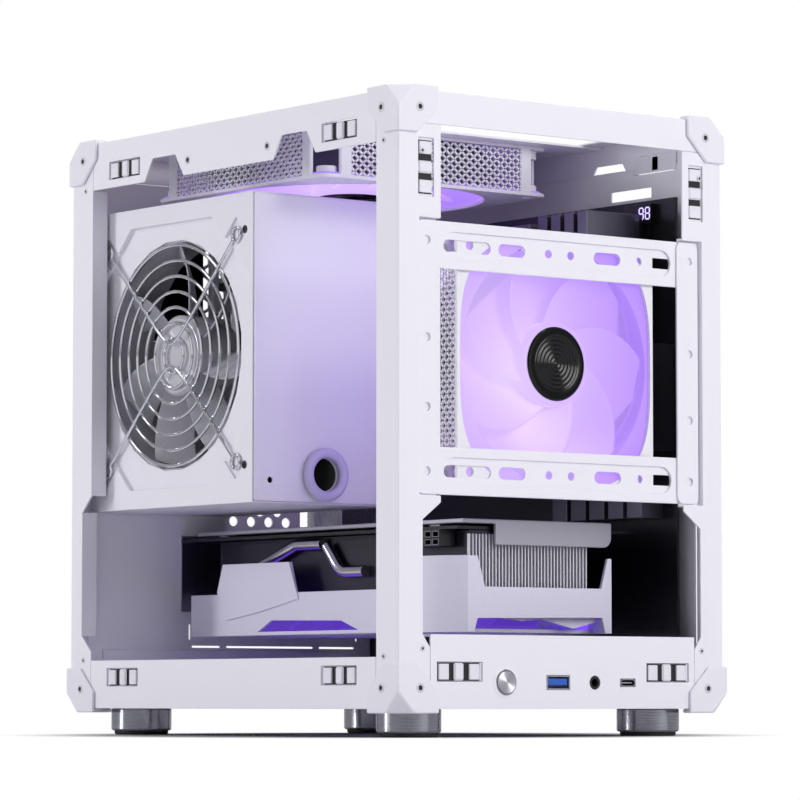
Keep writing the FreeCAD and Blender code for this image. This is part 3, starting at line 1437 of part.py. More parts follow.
# Circuit board of the power supply with its transformer and heat sinks, on stands from the board side
psu_board_x = f"{psu_right} - psu_gauge - psu_board_stand - psu_board_gauge"
psu_in_y = (f"{REAR} - gauge - psu_length + 4 * inlet_wall", f"{REAR} - gauge - inlet_depth - 2 * inlet_wall")
psu_in_z = (f"{psu_bottom} + 3 * inlet_wall", f"{psu_top} - 3 * inlet_wall")
psu_pieces = [block("psu_board_sheet", (psu_board_x, f"{psu_board_x} + psu_board_gauge"), psu_in_y, psu_in_z)]
for corner, (y_low, z_low) in enumerate((
    (psu_in_y[0], psu_in_z[0]), (psu_in_y[0], f"{psu_in_z[1]} - 2 * inlet_wall"),
    (f"{psu_in_y[1]} - 2 * inlet_wall", psu_in_z[0]),
    (f"{psu_in_y[1]} - 2 * inlet_wall", f"{psu_in_z[1]} - 2 * inlet_wall"),
)):
    psu_pieces.append(block(
        f"psu_board_stand_{corner}", (f"{psu_board_x} + psu_board_gauge", f"{psu_right} - psu_gauge"),
        (y_low, f"{y_low} + 2 * inlet_wall"), (z_low, f"{z_low} + 2 * inlet_wall"),
    ))
psu_pieces.append(block(
    "psu_transformer", (f"{psu_board_x} - 28", psu_board_x),
    (f"{psu_in_y[0]} + 38", f"{psu_in_y[0]} + 70"), (f"{psu_in_z[0]} + 50", f"{psu_in_z[0]} + 88"),
))
for index, rise in enumerate(("20", "104")):
    psu_pieces.append(block(
        f"psu_heat_sink_{index}", (f"{psu_board_x} - 30", psu_board_x),
        (f"{psu_in_y[0]} + 24", f"{psu_in_y[0]} + 84"),
        (f"{psu_in_z[0]} + {rise}", f"{psu_in_z[0]} + {rise} + 4"),
    ))
keep(fused("psu_board", psu_pieces), "psu_board")

# Board tray on the closed side, with six-sided standoffs
tray_x = f"{RIGHT} - gauge - tray_gauge"
tray_body = new_body("motherboard_tray_body")
board_y0 = f"{FRONT} + board_setback"
board_y1 = f"{FRONT} + board_setback + board_length"
board_z0 = f"{BASE} + board_rise"
board_z1 = f"{BASE} + board_rise + board_height"
tray_front = f"{FRONT} + post_side + seam"
tray_rear = f"{REAR} - 2 * gauge - seam"
tray_low = f"{BASE} + gauge"
tray_high = f"{TOP} - rail_drop + notch_height - 4 * gauge"
spring_half = "clip_length / 2 + clip_lap + seam"
spring_reach = "clip_width / 2 + seam"
SPRINGS = (f"{FRONT} + clip_inset", f"{REAR} - clip_inset")
tray_outline = [(tray_front, tray_low)]
for middle in SPRINGS:
    notch_top = f"{BASE} + clip_bottom_rise + {spring_reach}"
    tray_outline += [
        (f"{middle} - ({spring_half})", tray_low), (f"{middle} - ({spring_half})", notch_top),
        (f"{middle} + {spring_half}", notch_top), (f"{middle} + {spring_half}", tray_low),
    ]
tray_outline += [
    (f"{tray_rear} - post_end", tray_low), (tray_rear, f"{tray_low} + post_end"), (tray_rear, tray_high),
]
for middle in SPRINGS[::-1]:
    notch_low = f"{TOP} - clip_top_drop - ({spring_reach})"
    tray_outline += [
        (f"{middle} + {spring_half}", tray_high), (f"{middle} + {spring_half}", notch_low),
        (f"{middle} - ({spring_half})", notch_low), (f"{middle} - ({spring_half})", tray_high),
    ]
tray_outline.append((tray_front, tray_high))
backing = rectangle(
    (f"{FRONT} + cooler_setback", f"{BASE} + cooler_rise"),
    (f"{FRONT} + cooler_setback + cooler_side", f"{BASE} + cooler_rise + cooler_side"),
)
tie_slot = rectangle(
    (f"{FRONT} + 48", f"{board_z1} + 3 * gauge"), (f"{FRONT} + 78", f"{board_z1} + 8 * gauge"),
)
sheet_wall(tray_body, "YZ_Plane", tray_x, "tray_gauge", tray_outline, [backing, tie_slot])
tray_number = right_x - sheet.gauge - sheet.tray_gauge
board_front = front_y + sheet.board_setback
board_bottom = base_z + sheet.board_rise
# Standoffs: share of the board's length, and height on it
STANDOFFS = [
    (0.0418, 20.6), (0.0418, 237.5), (0.3566, 237.5), (0.3566, 84.0),
    (0.8648, 237.5), (0.8648, 84.0), (0.959, 20.6), (0.5328, 20.6),
]
studs = []
for along, up in STANDOFFS:
    ring = []
    for corner in range(6):
        angle = math.radians(60 * corner)
        radius = sheet.standoff_flats / 2 / math.cos(math.radians(30))
        stud_y = board_front + along * sheet.board_length + radius * math.cos(angle)
        ring.append(Vector(tray_number, stud_y, board_bottom + up + radius * math.sin(angle)))
    studs.append(prism(ring, Vector(-sheet.board_stand, 0, 0)))
stud_item = feature("standoffs", Part.makeCompound(studs))
keep(fused("motherboard_tray", [tray_body, stud_item]), "motherboard_tray")

# Main board with its soldered sockets
pcb_x = (board_face, f"{board_face} + board_gauge")
board_pieces = [block("board_sheet", pcb_x, (board_y0, board_y1), (board_z0, board_z1))]
for index in range(4):
    middle = f"{FRONT} + memory_setback + {index} * memory_pitch"
    board_pieces.append(block(
        f"memory_socket_{index}", (f"{board_face} - memory_slot", board_face),
        (f"{middle} - memory_width / 2", f"{middle} + memory_width / 2"),
        (f"{BASE} + memory_rise", f"{BASE} + memory_rise + memory_length"),
    ))
card_slot_z = f"{BASE} + card_pcb_rise"
board_pieces.append(block(
    "card_socket", (f"{board_face} - card_socket_height", board_face), (f"{REAR} - 118", f"{REAR} - 29"),
    (f"{card_slot_z} - 3", f"{card_slot_z} + card_pcb_gauge + 3"),
))
card_socket_gap = block(
    "card_socket_gap", (f"{board_face} - card_socket_height", f"{board_face} - 3"),
    (f"{REAR} - 116", f"{REAR} - 31"),
    (f"{card_slot_z} - seam", f"{card_slot_z} + card_pcb_gauge + seam"),
)
board_pieces.append(block(
    "board_power_socket", (f"{board_face} - 14", board_face), (f"{board_y0} + 1", f"{board_y0} + 10"),
    (f"{board_z0} + 120", f"{board_z0} + 172"),
))
board_pieces.append(block(
    "code_display", (f"{board_face} - 4", board_face), (f"{board_y0} + 14", f"{board_y0} + 34"),
    (f"{board_z1} - 12", f"{board_z1} - 2"),
))
board_solid = fused("board_solid", board_pieces)
keep(without("motherboard", board_solid, card_socket_gap), "motherboard")

modules = []
tray_face = right_x - sheet.gauge - sheet.tray_gauge
module_face = tray_face - sheet.board_stand - sheet.board_gauge - sheet.memory_slot
for index in range(4):
    middle = front_y + sheet.memory_setback + index * sheet.memory_pitch
    modules.append(Part.makeBox(
        sheet.memory_reach - sheet.memory_slot, sheet.memory_width, sheet.memory_length,
        Vector(
            module_face - sheet.memory_reach + sheet.memory_slot, middle - sheet.memory_width / 2,
            base_z + sheet.memory_rise,
        ),
    ))
keep(feature("memory_modules", Part.makeCompound(modules)), "memory_modules")

# Low cooler on the processor: a base and a finned plate
cooler_y0 = front_y + sheet.cooler_setback
cooler_z0 = base_z + sheet.cooler_rise
cooler_x1 = module_face + sheet.memory_slot
plate_x = cooler_x1 - sheet.cooler_base
cooler = Part.makeBox(
    sheet.cooler_plate, sheet.cooler_side, sheet.cooler_side,
    Vector(plate_x - sheet.cooler_plate, cooler_y0, cooler_z0),
)
core = sheet.cooler_side / 2
core_corner = Vector(plate_x, cooler_y0 + core / 2, cooler_z0 + core / 2)
cooler = cooler.fuse(Part.makeBox(sheet.cooler_base, core, core, core_corner))
fin_count = int((sheet.cooler_side - sheet.cooler_fin) / sheet.cooler_fin_pitch) + 1
fin_tip = plate_x - sheet.cooler_plate - sheet.fin_reach
fins = []
for index in range(fin_count):
    low = cooler_y0 + index * sheet.cooler_fin_pitch
    fin_corner = Vector(fin_tip, low, cooler_z0)
    fins.append(Part.makeBox(sheet.fin_reach, sheet.cooler_fin, sheet.cooler_side, fin_corner))
keep(feature("cpu_cooler", cooler.fuse(fins).removeSplitter()), "cpu_cooler")

# Heat sinks and the port block on the main board
vrm_z = (f"{board_z1} - 26", f"{board_z1} - 6")
vrm = [block("vrm_foot", (f"{board_face} - 8", board_face), (f"{board_y0} + 80", f"{board_y0} + 180"), vrm_z)]
for index in range(4):
    rise = f"{board_z1} - 26 + {index} * 5"
    vrm.append(block(
        f"vrm_fin_{index}", (f"{board_face} - 26", f"{board_face} - 8"),
        (f"{board_y0} + 80", f"{board_y0} + 180"), (rise, f"{rise} + 3"),
    ))
keep(fused("vrm_heatsink", vrm), "vrm_heatsink")
chip_sink = []
for index in range(5):
    start = f"{board_y0} + 10 + {index} * 14"
    chip_sink.append(block(
        f"chip_fin_{index}", (f"{board_face} - 14", f"{board_face} - 4"), (start, f"{start} + 11"),
        (f"{BASE} + 92", f"{BASE} + 104"),
    ))
chip_sink.append(block(
    "chip_plate", (f"{board_face} - 4", board_face), (f"{board_y0} + 10", f"{board_y0} + 77"),
    (f"{BASE} + 92", f"{BASE} + 104"),
))
keep(fused("chipset_heatsink", chip_sink), "chipset_heatsink")
io_block = block(
    "io_block", (f"{board_face} - io_shroud_width", board_face),
    (f"{REAR} - gauge - io_shroud_depth", f"{REAR} - gauge - seam"),
    (f"{io_top} - io_shroud_height", f"{io_top} - 2 * gauge"),
)
io_mouths = []
for index in range(5):
    low = f"{io_top} - io_shroud_height + 10 + {index} * 27"
    io_mouths.append(block(
        f"io_mouth_{index}", (f"{board_face} - io_shroud_width + 8", f"{board_face} - 10"),
        (f"{REAR} - gauge - 12", f"{REAR} - gauge - seam"), (low, f"{low} + 18"),
    ))
keep(without("rear_io_ports", io_block, fused("io_mouths", io_mouths)), "rear_io_ports")

# Graphics card: circuit board with its contact edge, bracket and metal back plate
card_y0 = f"{FRONT} + card_front"
bracket_y = (f"{REAR} - 2 * gauge", f"{REAR} - gauge")
card_z = (f"{BASE} + card_pcb_rise", f"{BASE} + card_pcb_rise + card_pcb_gauge")
card_end = f"({board_face} - card_socket_height - seam)"
card_sheet = block(
    "card_sheet", (f"{LEFT} + card_pcb_inset", card_end), (f"{card_y0} + 4", f"{REAR} - 2 * gauge"), card_z,
)
card_contacts = block(
    "card_contacts", (card_end, f"{card_end} + card_contact"), (f"{REAR} - 115.5", f"{REAR} - 31.5"), card_z,
)
keep(fused("gpu_board", [card_sheet, card_contacts]), "gpu_board")
keep(block(
    "gpu_bracket", (f"{LEFT} + card_pcb_inset", f"{LEFT} + slot_inset + slot_width + 4"), bracket_y,
    (f"{BASE} + slot_rise + slot_pitch - slot_height / 2 - 2", f"{card_z[1]} + 2"),
), "gpu_bracket")


def card_back_plate():
    """Metal plate over the circuit board, folded down at the front into a lip with a round corner."""
    low = base_z + sheet.card_pcb_rise + sheet.card_pcb_gauge + sheet.card_plate_gap
    gauge = sheet.card_plate_gauge
    x0 = left_x + sheet.card_pcb_inset
    x1 = left_x + sheet.card_plate_end
    y0 = front_y + sheet.card_front
    plate = Part.makeBox(x1 - x0, rear_y - 8 * gauge - y0, gauge, Vector(x0, y0, low))
    round_cut = sheet.card_lip_round
    lip_x = x0 + 2 * sheet.card_lip
    outline = [
        Vector(lip_x, y0, low), Vector(x1, y0, low), Vector(x1, y0, low - sheet.card_lip + round_cut),
        Vector(x1 - round_cut, y0, low - sheet.card_lip), Vector(lip_x, y0, low - sheet.card_lip),
    ]
    middle = Vector(x1 - round_cut, y0, low - sheet.card_lip + round_cut)
    turn = middle + Vector(round_cut, 0, -round_cut) * math.sqrt(0.5)
    edges = [Part.LineSegment(outline[i], outline[i + 1]).toShape() for i in (0, 1)]
    edges.append(Part.Arc(outline[2], turn, outline[3]).toShape())
    edges.append(Part.LineSegment(outline[3], outline[4]).toShape())
    edges.append(Part.LineSegment(outline[4], outline[0]).toShape())
    lip = Part.Face(Part.Wire(edges)).extrude(Vector(0, gauge, 0))
    foot = low - sheet.card_plate_gap
    spacers = [
        Part.makeBox(4 * gauge, 4 * gauge, sheet.card_plate_gap, Vector(x, y, foot))
        for x in (x0 + gauge, x1 - 6 * gauge) for y in (y0 + 10 * gauge, rear_y - 20 * gauge)
    ]
    return plate.fuse([lip] + spacers).removeSplitter()


keep(feature("gpu_backplate", card_back_plate()), "gpu_backplate")


def card_fin_stack():
    """Comb of fins that runs the length of the card, hanging from a plate under the circuit board."""
    high = base_z + sheet.card_pcb_rise - sheet.seam
    low = base_z + sheet.card_fin_bottom
    y0 = front_y + sheet.card_front + 2 * sheet.card_plate_gauge
    length = sheet.shroud_rear - sheet.card_front - 6 * sheet.shroud_wall
    x0 = left_x + sheet.card_fin_inset
    width = (sheet.card_fins - 1) * sheet.card_fin_pitch + sheet.card_fin
    pieces = []
    for index in range(int(sheet.card_fins)):
        corner = Vector(x0 + index * sheet.card_fin_pitch, y0, low)
        pieces.append(Part.makeBox(sheet.card_fin, length, high - low, corner))
    plate = Part.makeBox(width, length, sheet.card_fin_plate, Vector(x0, y0, high - sheet.card_fin_plate))
    return plate.fuse(pieces).removeSplitter()


keep(feature("gpu_fin_stack", card_fin_stack()), "gpu_fin_stack")


PIPE_SIDES = 6


def bent_pipe(points, bend):
    """Pipe in a plane across X: straight runs, with every bend of one radius drawn as two chords."""
    line = [points[0]]
    for before, corner, after in zip(points, points[1:], points[2:]):
        arrive = (corner - before).normalize()
        leave = (after - corner).normalize()
        half_turn = arrive.getAngle(leave) / 2
        set_back = bend * math.tan(half_turn)
        inside = (leave - arrive).normalize()
        line.append(corner - arrive * set_back)
        line.append(corner + inside * (bend / math.cos(half_turn) - bend))
        line.append(corner + leave * set_back)
    line.append(points[-1])
    runs = [(far - near).normalize() for near, far in zip(line, line[1:])]
    rings = []
    for place, arrive, leave in zip(line, runs[:1] + runs, runs + runs[-1:]):
        along = (arrive + leave).normalize()
        across = SIDEWAYS.cross(along) * (1 / along.dot(leave))
        corners = ring_corners(sheet.pipe_diameter / 2, PIPE_SIDES, 0)
        rings.append([place + across * corner.x + SIDEWAYS * corner.y for corner in corners])
    return faceted(rings).removeSplitter()


# Heat pipes along the open side of the fins; places are depth and height from the frame's corner
PIPES = [
    [(208, 68.5), (172, 80.5), (150, 80.5)],
    [(147, 79.5), (136, 66.5), (116, 66.5)],
]
pipe_x = left_x + sheet.card_fin_inset - sheet.pipe_diameter / 2 - sheet.seam
pipes = []
for route in PIPES:
    points = [Vector(pipe_x, front_y + along, base_z + up) for along, up in route]
    pipes.append(bent_pipe(points, 2 * sheet.pipe_diameter))
keep(feature("gpu_heat_pipes", Part.makeCompound(pipes)), "gpu_heat_pipes")


MOUTH_SIDES = 10


def card_shroud():
    """Faceted cover round the fins: a tray with two fan openings, a front window and a raised ear."""
    wall = sheet.shroud_wall
    x0 = left_x + sheet.card_inset
    x1 = left_x + sheet.shroud_end
    y0 = front_y + sheet.card_front
    y1 = front_y + sheet.shroud_rear
    z0 = base_z + sheet.shroud_bottom
    band = z0 + sheet.shroud_band
    peak = z0 + sheet.shroud_peak
    cut = sheet.shroud_cut

    def floor_plan(inset):
        slant = inset * math.tan(math.radians(22.5))
        return [
            (x0 + inset, y0 + cut + slant), (x0 + cut + slant, y0 + inset), (x1 - inset, y0 + inset),
            (x1 - inset, y1 - inset), (x0 + inset, y1 - inset),
        ]

    body = prism([Vector(x, y, z0) for x, y in floor_plan(0)], Vector(0, 0, sheet.shroud_peak))
    hollow = prism([Vector(x, y, z0 + wall) for x, y in floor_plan(wall)], Vector(0, 0, sheet.shroud_peak))
    body = body.cut(hollow)
    window = [
        (left_x + sheet.window_left, band), (left_x + sheet.window_right, band),
        (left_x + sheet.window_right + sheet.window_slope, peak),
        (left_x + sheet.window_left - sheet.window_slope, peak),
    ]
    body = body.cut(prism([Vector(x, y0, z) for x, z in window], Vector(0, wall, 0)))
    ear = [
        (sheet.ear_front, band), (sheet.ear_front + sheet.ear_slope, peak),
        (sheet.ear_rear - sheet.ear_slope, peak), (sheet.ear_rear, band),
    ]
    gap_start = front_y + sheet.card_front + cut + wall
    gap_front = [
        (gap_start, band), (front_y + ear[0][0], band), (front_y + ear[1][0], peak), (gap_start, peak),
    ]
    gap_rear = [(front_y + ear[3][0], band), (y1, band), (y1, peak), (front_y + ear[2][0], peak)]
    for gap in (gap_front, gap_rear):
        body = body.cut(prism([Vector(x0, y, z) for y, z in gap], Vector(wall, 0, 0)))
    rear_gap = Part.makeBox(x1 - x0, wall, peak - band, Vector(x0, y1 - wall, band))
    inner_gap = Part.makeBox(wall, y1 - y0 - cut, peak - band, Vector(x1 - wall, y0 + cut, band))
    body = body.cut([rear_gap, inner_gap])
    for along in (sheet.card_fan_front, sheet.card_fan_rear):
        mouth = many_sided(sheet.card_fan_bore / 2, MOUTH_SIDES, 0, wall)
        mouth.translate(Vector(left_x + sheet.card_fan_x, front_y + along, z0))
        body = body.cut(mouth)
    return body.removeSplitter()


keep(feature("gpu_shroud", card_shroud()), "gpu_shroud")

# Fan carrier inside the shroud: two open rings with motor bases, and a dark skirt on the board side
carrier_low = base_z + sheet.shroud_bottom + sheet.shroud_wall
carrier_high = base_z + sheet.card_fin_bottom - sheet.carrier_gap
card_hub = sheet.card_hub / 2


def fan_carrier():
    wall = sheet.shroud_wall
    gauge = sheet.carrier_gauge
    x0 = left_x + sheet.card_inset + wall + sheet.carrier_gap
    x1 = left_x + sheet.shroud_end - wall - sheet.carrier_gap
    y0 = front_y + sheet.card_front + sheet.shroud_cut + 2 * wall
    y1 = front_y + sheet.shroud_rear - wall - sheet.carrier_gap
    plate = Part.makeBox(x1 - x0, y1 - y0, gauge, Vector(x0, y0, carrier_high - gauge))
    for along in (sheet.card_fan_front, sheet.card_fan_rear):
        middle = Vector(left_x + sheet.card_fan_x, front_y + along, carrier_high - gauge)
        bore = many_sided(sheet.card_fan_bore / 2, MOUTH_SIDES, 0, gauge)
        bore.translate(middle)
        base = many_sided(card_hub, MOUTH_SIDES, 0, gauge)
        base.translate(middle)
        plate = plate.cut(bore).fuse(base)
        for turn in (90, 270):
            strut = Part.makeBox(sheet.card_fan_bore / 2 - card_hub + 2 * wall, sheet.strut_width, gauge,
                                 Vector(card_hub - wall / 2, -sheet.strut_width / 2, 0))
            strut.rotate(Vector(), Vector(0, 0, 1), turn)
            strut.translate(middle)
            plate = plate.fuse(strut)
        hole = bearing(0, gauge)
        hole.translate(middle)
        plate = plate.cut(hole)
    legs = [
        Part.makeBox(2 * wall, 2 * wall, carrier_high - gauge - carrier_low, Vector(x, y, carrier_low))
        for x in (x0, x1 - 2 * wall) for y in (y0, y1 - 2 * wall)
    ]
    return plate.fuse(legs).removeSplitter()


keep(feature("gpu_fan_carrier", fan_carrier()), "gpu_fan_carrier")


def card_rotor():
    """Flat rotor about Z that hangs from the carrier: a capped hub on a shaft, with swept blades."""
    radius = sheet.card_fan_bore / 2 * math.cos(math.pi / MOUTH_SIDES) - sheet.tip_gap
    low = 0
    high = carrier_high - sheet.carrier_gauge - sheet.run_gap - carrier_low
    hub = many_sided(card_hub, BASE_SIDES, low, high)
    hub = hub.fuse(shaft(high, high + sheet.run_gap + sheet.carrier_gauge))
    vane = blade(card_hub - sheet.hub_wall, radius, high - 1, *FLAT, STRAIGHT)
    return bladed(hub, BLADES, vane, high / 2)


card_rotor_shape = card_rotor()
for name, along in (("gpu_rotor_front", sheet.card_fan_front), ("gpu_rotor_rear", sheet.card_fan_rear)):
    place = Vector(left_x + sheet.card_fan_x, front_y + along, carrier_low)
    keep(feature(name, faced(card_rotor_shape, Vector(0, 0, 1), place)), name)

# Power socket of the card, under the edge of its circuit board on the open side
socket_y = f"{FRONT} + power_socket_setback"
socket_x = f"{LEFT} + card_pcb_inset - 3"
socket_end = f"({LEFT} + card_fin_inset - seam)"
power_socket = block(
    "power_socket_body", (socket_x, socket_end), (socket_y, f"{socket_y} + power_socket_length"),
    (f"{card_z[0]} - power_socket_height", card_z[0]),
)
socket_mouths = []
for index in range(4):
    start = f"{socket_y} + power_socket_length / 8 + {index} * power_socket_length / 4"
    socket_mouths.append(block(
        f"socket_mouth_{index}", (socket_x, f"{socket_end} - 2"),
        (f"{start} - power_socket_length / 12", f"{start} + power_socket_length / 12"),
        (f"{card_z[0]} - power_socket_height + 1.2", f"{card_z[0]} - 1.2"),
    ))
keep(without("gpu_power_socket", power_socket, fused("socket_mouths", socket_mouths)), "gpu_power_socket")

doc.recompute()

# Every object is sound before anything is written
for item in doc.Objects:
    if "Invalid" in item.State or "Error" in item.State:
        raise RuntimeError(f"{item.Label} did not rebuild: {item.State}")
for item in PARTS:
    if item.Shape.isNull() or not item.Shape.isValid() or not item.Shape.Solids:
        raise RuntimeError(f"{item.Label} has no sound solid")

os.makedirs("parts", exist_ok=True)
for item in PARTS:
    item.Shape.exportStep(os.path.join("parts", item.Label + ".step"))
print(len(PARTS), "parts written")
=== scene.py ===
"""Small cube-shaped computer case of white steel with its panels off, and the parts inside it.

A folded frame with capped corners stands on four turned feet. It holds an upright
power supply, two lit fans, a main board and a graphics card. Sizes are in millimetres.
"""

import itertools
import math

import bmesh
import bpy
import numpy as np
from mathutils import Matrix, Vector


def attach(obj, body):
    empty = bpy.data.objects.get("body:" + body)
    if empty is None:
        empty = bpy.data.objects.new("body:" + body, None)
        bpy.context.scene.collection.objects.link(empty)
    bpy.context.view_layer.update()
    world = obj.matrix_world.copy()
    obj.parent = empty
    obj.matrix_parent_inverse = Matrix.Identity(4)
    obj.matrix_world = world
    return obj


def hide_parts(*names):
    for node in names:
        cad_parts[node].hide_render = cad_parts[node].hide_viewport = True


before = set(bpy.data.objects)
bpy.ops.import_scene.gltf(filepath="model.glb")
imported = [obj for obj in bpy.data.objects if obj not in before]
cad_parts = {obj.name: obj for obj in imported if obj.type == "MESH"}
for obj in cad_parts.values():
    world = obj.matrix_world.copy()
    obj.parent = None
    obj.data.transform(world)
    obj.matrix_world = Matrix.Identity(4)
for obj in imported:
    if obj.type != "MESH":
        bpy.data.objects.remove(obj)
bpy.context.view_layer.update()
scene = bpy.context.scene

# View: a long lens close to the ground, level with the feet and in front of
# the left corner, so that the open side and the front are both seen.
yaw = math.radians(37.919)
tilt = math.radians(4.1317)
ahead = np.array([math.sin(yaw) * math.cos(tilt), math.cos(yaw) * math.cos(tilt), math.sin(tilt)])
rightward = np.array([math.cos(yaw), -math.sin(yaw), 0.0])
eye = [-1.2562, -1.62087, 0.01666]
stand = np.eye(4)
stand[:3, 0] = rightward
stand[:3, 1] = np.cross(rightward, ahead)
stand[:3, 2] = -ahead
stand[:3, 3] = eye
lens = bpy.data.cameras.new("view")
lens.sensor_width = 36
lens.lens = 187.51
camera = bpy.data.objects.new("view", lens)
camera.matrix_world = Matrix(stand.tolist())
scene.collection.objects.link(camera)
scene.camera = camera


# Frame: posts, rails, floor, front plate, tray and the bracket of the top fan, folded from
# 1 mm steel and powder coated white. The fine bump is the orange peel of the coat, and
# the folds and cut edges are a little round.
MM = 0.001
SHARP = math.radians(32)


def linear(code):
    """Six hex digits as linear light with full cover: the screen curve undone for each channel."""
    screen = [int(code[place:place + 2], 16) / 255 for place in (0, 2, 4)]
    return [v / 12.92 if v <= 0.04045 else ((v + 0.055) / 1.055) ** 2.4 for v in screen] + [1.0]


def add(tree, kind, settings, links):
    """Adds a node. A setting is an attribute or the value of a socket, and a link feeds a socket."""
    node = tree.nodes.new("ShaderNode" + kind)
    for name, value in settings.items():
        if isinstance(name, str) and hasattr(node, name):
            setattr(node, name, value)
        else:
            node.inputs[name].default_value = value
    for name, source in links.items():
        tree.links.new(source, node.inputs[name])
    return node


def finish(name, light, dark, grain, rough, relief, stretch=(1, 1, 1), **sockets):
    """A finish whose colour, roughness and relief follow noise with grains of a size in millimetres."""
    material = bpy.data.materials.new(name)
    material.use_nodes = True
    tree = material.node_tree
    tree.nodes.clear()
    where = add(tree, "TexCoord", {}, {})
    scale = [1000 / (grain * share) for share in stretch]
    spread = add(tree, "Mapping", {"Scale": scale}, {"Vector": where.outputs["Object"]})
    noise = add(tree, "TexNoise", {"Scale": 1.0, "Detail": 4.0}, {"Vector": spread.outputs[0]})
    mix = add(tree, "Mix", {"data_type": "RGBA", 6: linear(dark), 7: linear(light)}, {0: noise.outputs[0]})
    gloss = add(tree, "MapRange", {3: rough - 0.06, 4: rough + 0.06}, {0: noise.outputs[0]})
    bump = add(tree, "Bump", {"Strength": relief, "Distance": 0.0001}, {"Height": noise.outputs[0]})
    values = {socket.replace("_", " "): value for socket, value in sockets.items()}
    links = {"Base Color": mix.outputs[2], "Roughness": gloss.outputs[0], "Normal": bump.outputs[0]}
    surface = add(tree, "BsdfPrincipled", values, links)
    add(tree, "OutputMaterial", {}, {"Surface": surface.outputs[0]})
    return material


def whole_faces(piece):
    """Joins the triangles of each flat face."""
    whole = piece.modifiers.new("whole faces", "DECIMATE")
    whole.decimate_type = "DISSOLVE"
    whole.angle_limit = math.radians(1)


def round_edges(piece, edge):
    """Rolls the sharp edges of a piece."""
    rolled = piece.modifiers.new("rolled edge", "BEVEL")
    rolled.width = edge * MM
    rolled.segments = 2
    rolled.limit_method = "ANGLE"
    rolled.angle_limit = SHARP


def dress(material, edge, *names):
    """Gives CAD nodes a finish and round edges; flat faces are made whole, so that the rounding has room."""
    for name in names:
        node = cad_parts[name]
        node.data.materials.clear()
        node.data.materials.append(material)
        weld = node.modifiers.new("weld", "WELD")
        weld.merge_threshold = 2e-6
        whole_faces(node)
        round_edges(node, edge)


powder_coat = finish("white powder coat", "F3F1F8", "ECEAF2", 0.5, 0.42, 0.12, IOR=1.5)
dress(
    powder_coat, 0.35, "floor_pan", "front_io_plate", "motherboard_tray",
    "post_front_left", "post_front_right", "post_rear_left", "post_rear_right",
    "top_rail_left", "top_rail_right", "top_rail_front", "top_rail_rear", "top_fan_bracket",
)


# Corner caps: one pressing over each corner, held by a small white screw in each wall.
# The walls stand 0.3 mm inside the full size, and the screw heads make up the rest.
def grid(rows, columns, closed_rows=False, closed_columns=False):
    """Quads over points numbered row by row; a closed net also joins its last row or column to its first."""
    row = np.arange(rows if closed_rows else rows - 1)[:, None]
    column = np.arange(columns if closed_columns else columns - 1)[None, :]
    above = (row + 1) % rows
    beside = (column + 1) % columns
    quads = [
        row * columns + column, row * columns + beside,
        above * columns + beside, above * columns + column,
    ]
    return np.stack(quads, -1).reshape(-1, 4).tolist()


def joined(*shapes):
    """Several shapes as one, each a pair of points and faces."""
    points, faces, start = [], [], 0
    for corners, sides in shapes:
        points.append(np.asarray(corners, float).reshape(-1, 3))
        faces += [[start + number for number in side] for side in sides]
        start += len(points[-1])
    return np.concatenate(points), faces


def moved(shape, place, facing="up"):
    """A shape drawn about its own Z, with that axis turned to a side of the case and its origin placed."""
    turns = {
        "up": [[1, 0, 0], [0, 1, 0], [0, 0, 1]],
        "back": [[1, 0, 0], [0, 0, 1], [0, -1, 0]],
        "front": [[1, 0, 0], [0, 0, -1], [0, 1, 0]],
        "right": [[0, 0, 1], [0, 1, 0], [-1, 0, 0]],
        "left": [[0, 0, -1], [0, 1, 0], [1, 0, 0]],
    }
    points, faces = shape
    return np.asarray(points, float) @ np.array(turns[facing], float).T + np.array(place, float), faces


def spun(shape, degrees):
    """A shape turned about its own Z."""
    turn = math.radians(degrees)
    matrix = np.array([[math.cos(turn), -math.sin(turn), 0], [math.sin(turn), math.cos(turn), 0], [0, 0, 1]])
    return np.asarray(shape[0], float) @ matrix.T, shape[1]


def lathe(profile, sides, hollow=False):
    """Radius and height turned about Z, upward on the outside; a hollow profile closes on itself."""
    turn = np.arange(sides) * 2 * math.pi / sides
    radius, level = np.array(profile, float).T
    points = np.stack([
        radius[:, None] * np.cos(turn), radius[:, None] * np.sin(turn), level[:, None] + 0 * turn,
    ], -1).reshape(-1, 3)
    faces = grid(len(profile), sides, closed_rows=hollow, closed_columns=True)
    if not hollow:
        faces += [list(range(sides))[::-1], list(range(len(points) - sides, len(points)))]
    return points, faces


made = []


def make_piece(name, shape, material, body, slot, *nodes):
    """A piece from points in millimetres, with its faces turned outward and edges above 32 degrees sharp.
    It rides on a body and may stand for CAD nodes; the slot argument is not used."""
    mesh = bpy.data.meshes.new(name)
    mesh.from_pydata((np.asarray(shape[0]) * MM).tolist(), [], shape[1])
    work = bmesh.new()
    work.from_mesh(mesh)
    bmesh.ops.remove_doubles(work, verts=work.verts[:], dist=1e-6)
    bmesh.ops.recalc_face_normals(work, faces=work.faces[:])
    work.to_mesh(mesh)
    work.free()
    mesh.materials.append(material)
    mesh.shade_smooth()
    mesh.set_sharp_from_angle(angle=SHARP)
    piece = bpy.data.objects.new(name, mesh)
    scene.collection.objects.link(piece)
    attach(piece, body)
    if nodes:
        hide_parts(*nodes)
    made.append(piece)
    return piece


def at_seats(shape, seats):
    """Copies of a shape at seats, each a place and the side that it faces."""
    return joined(*[moved(shape, *seat) for seat in seats])


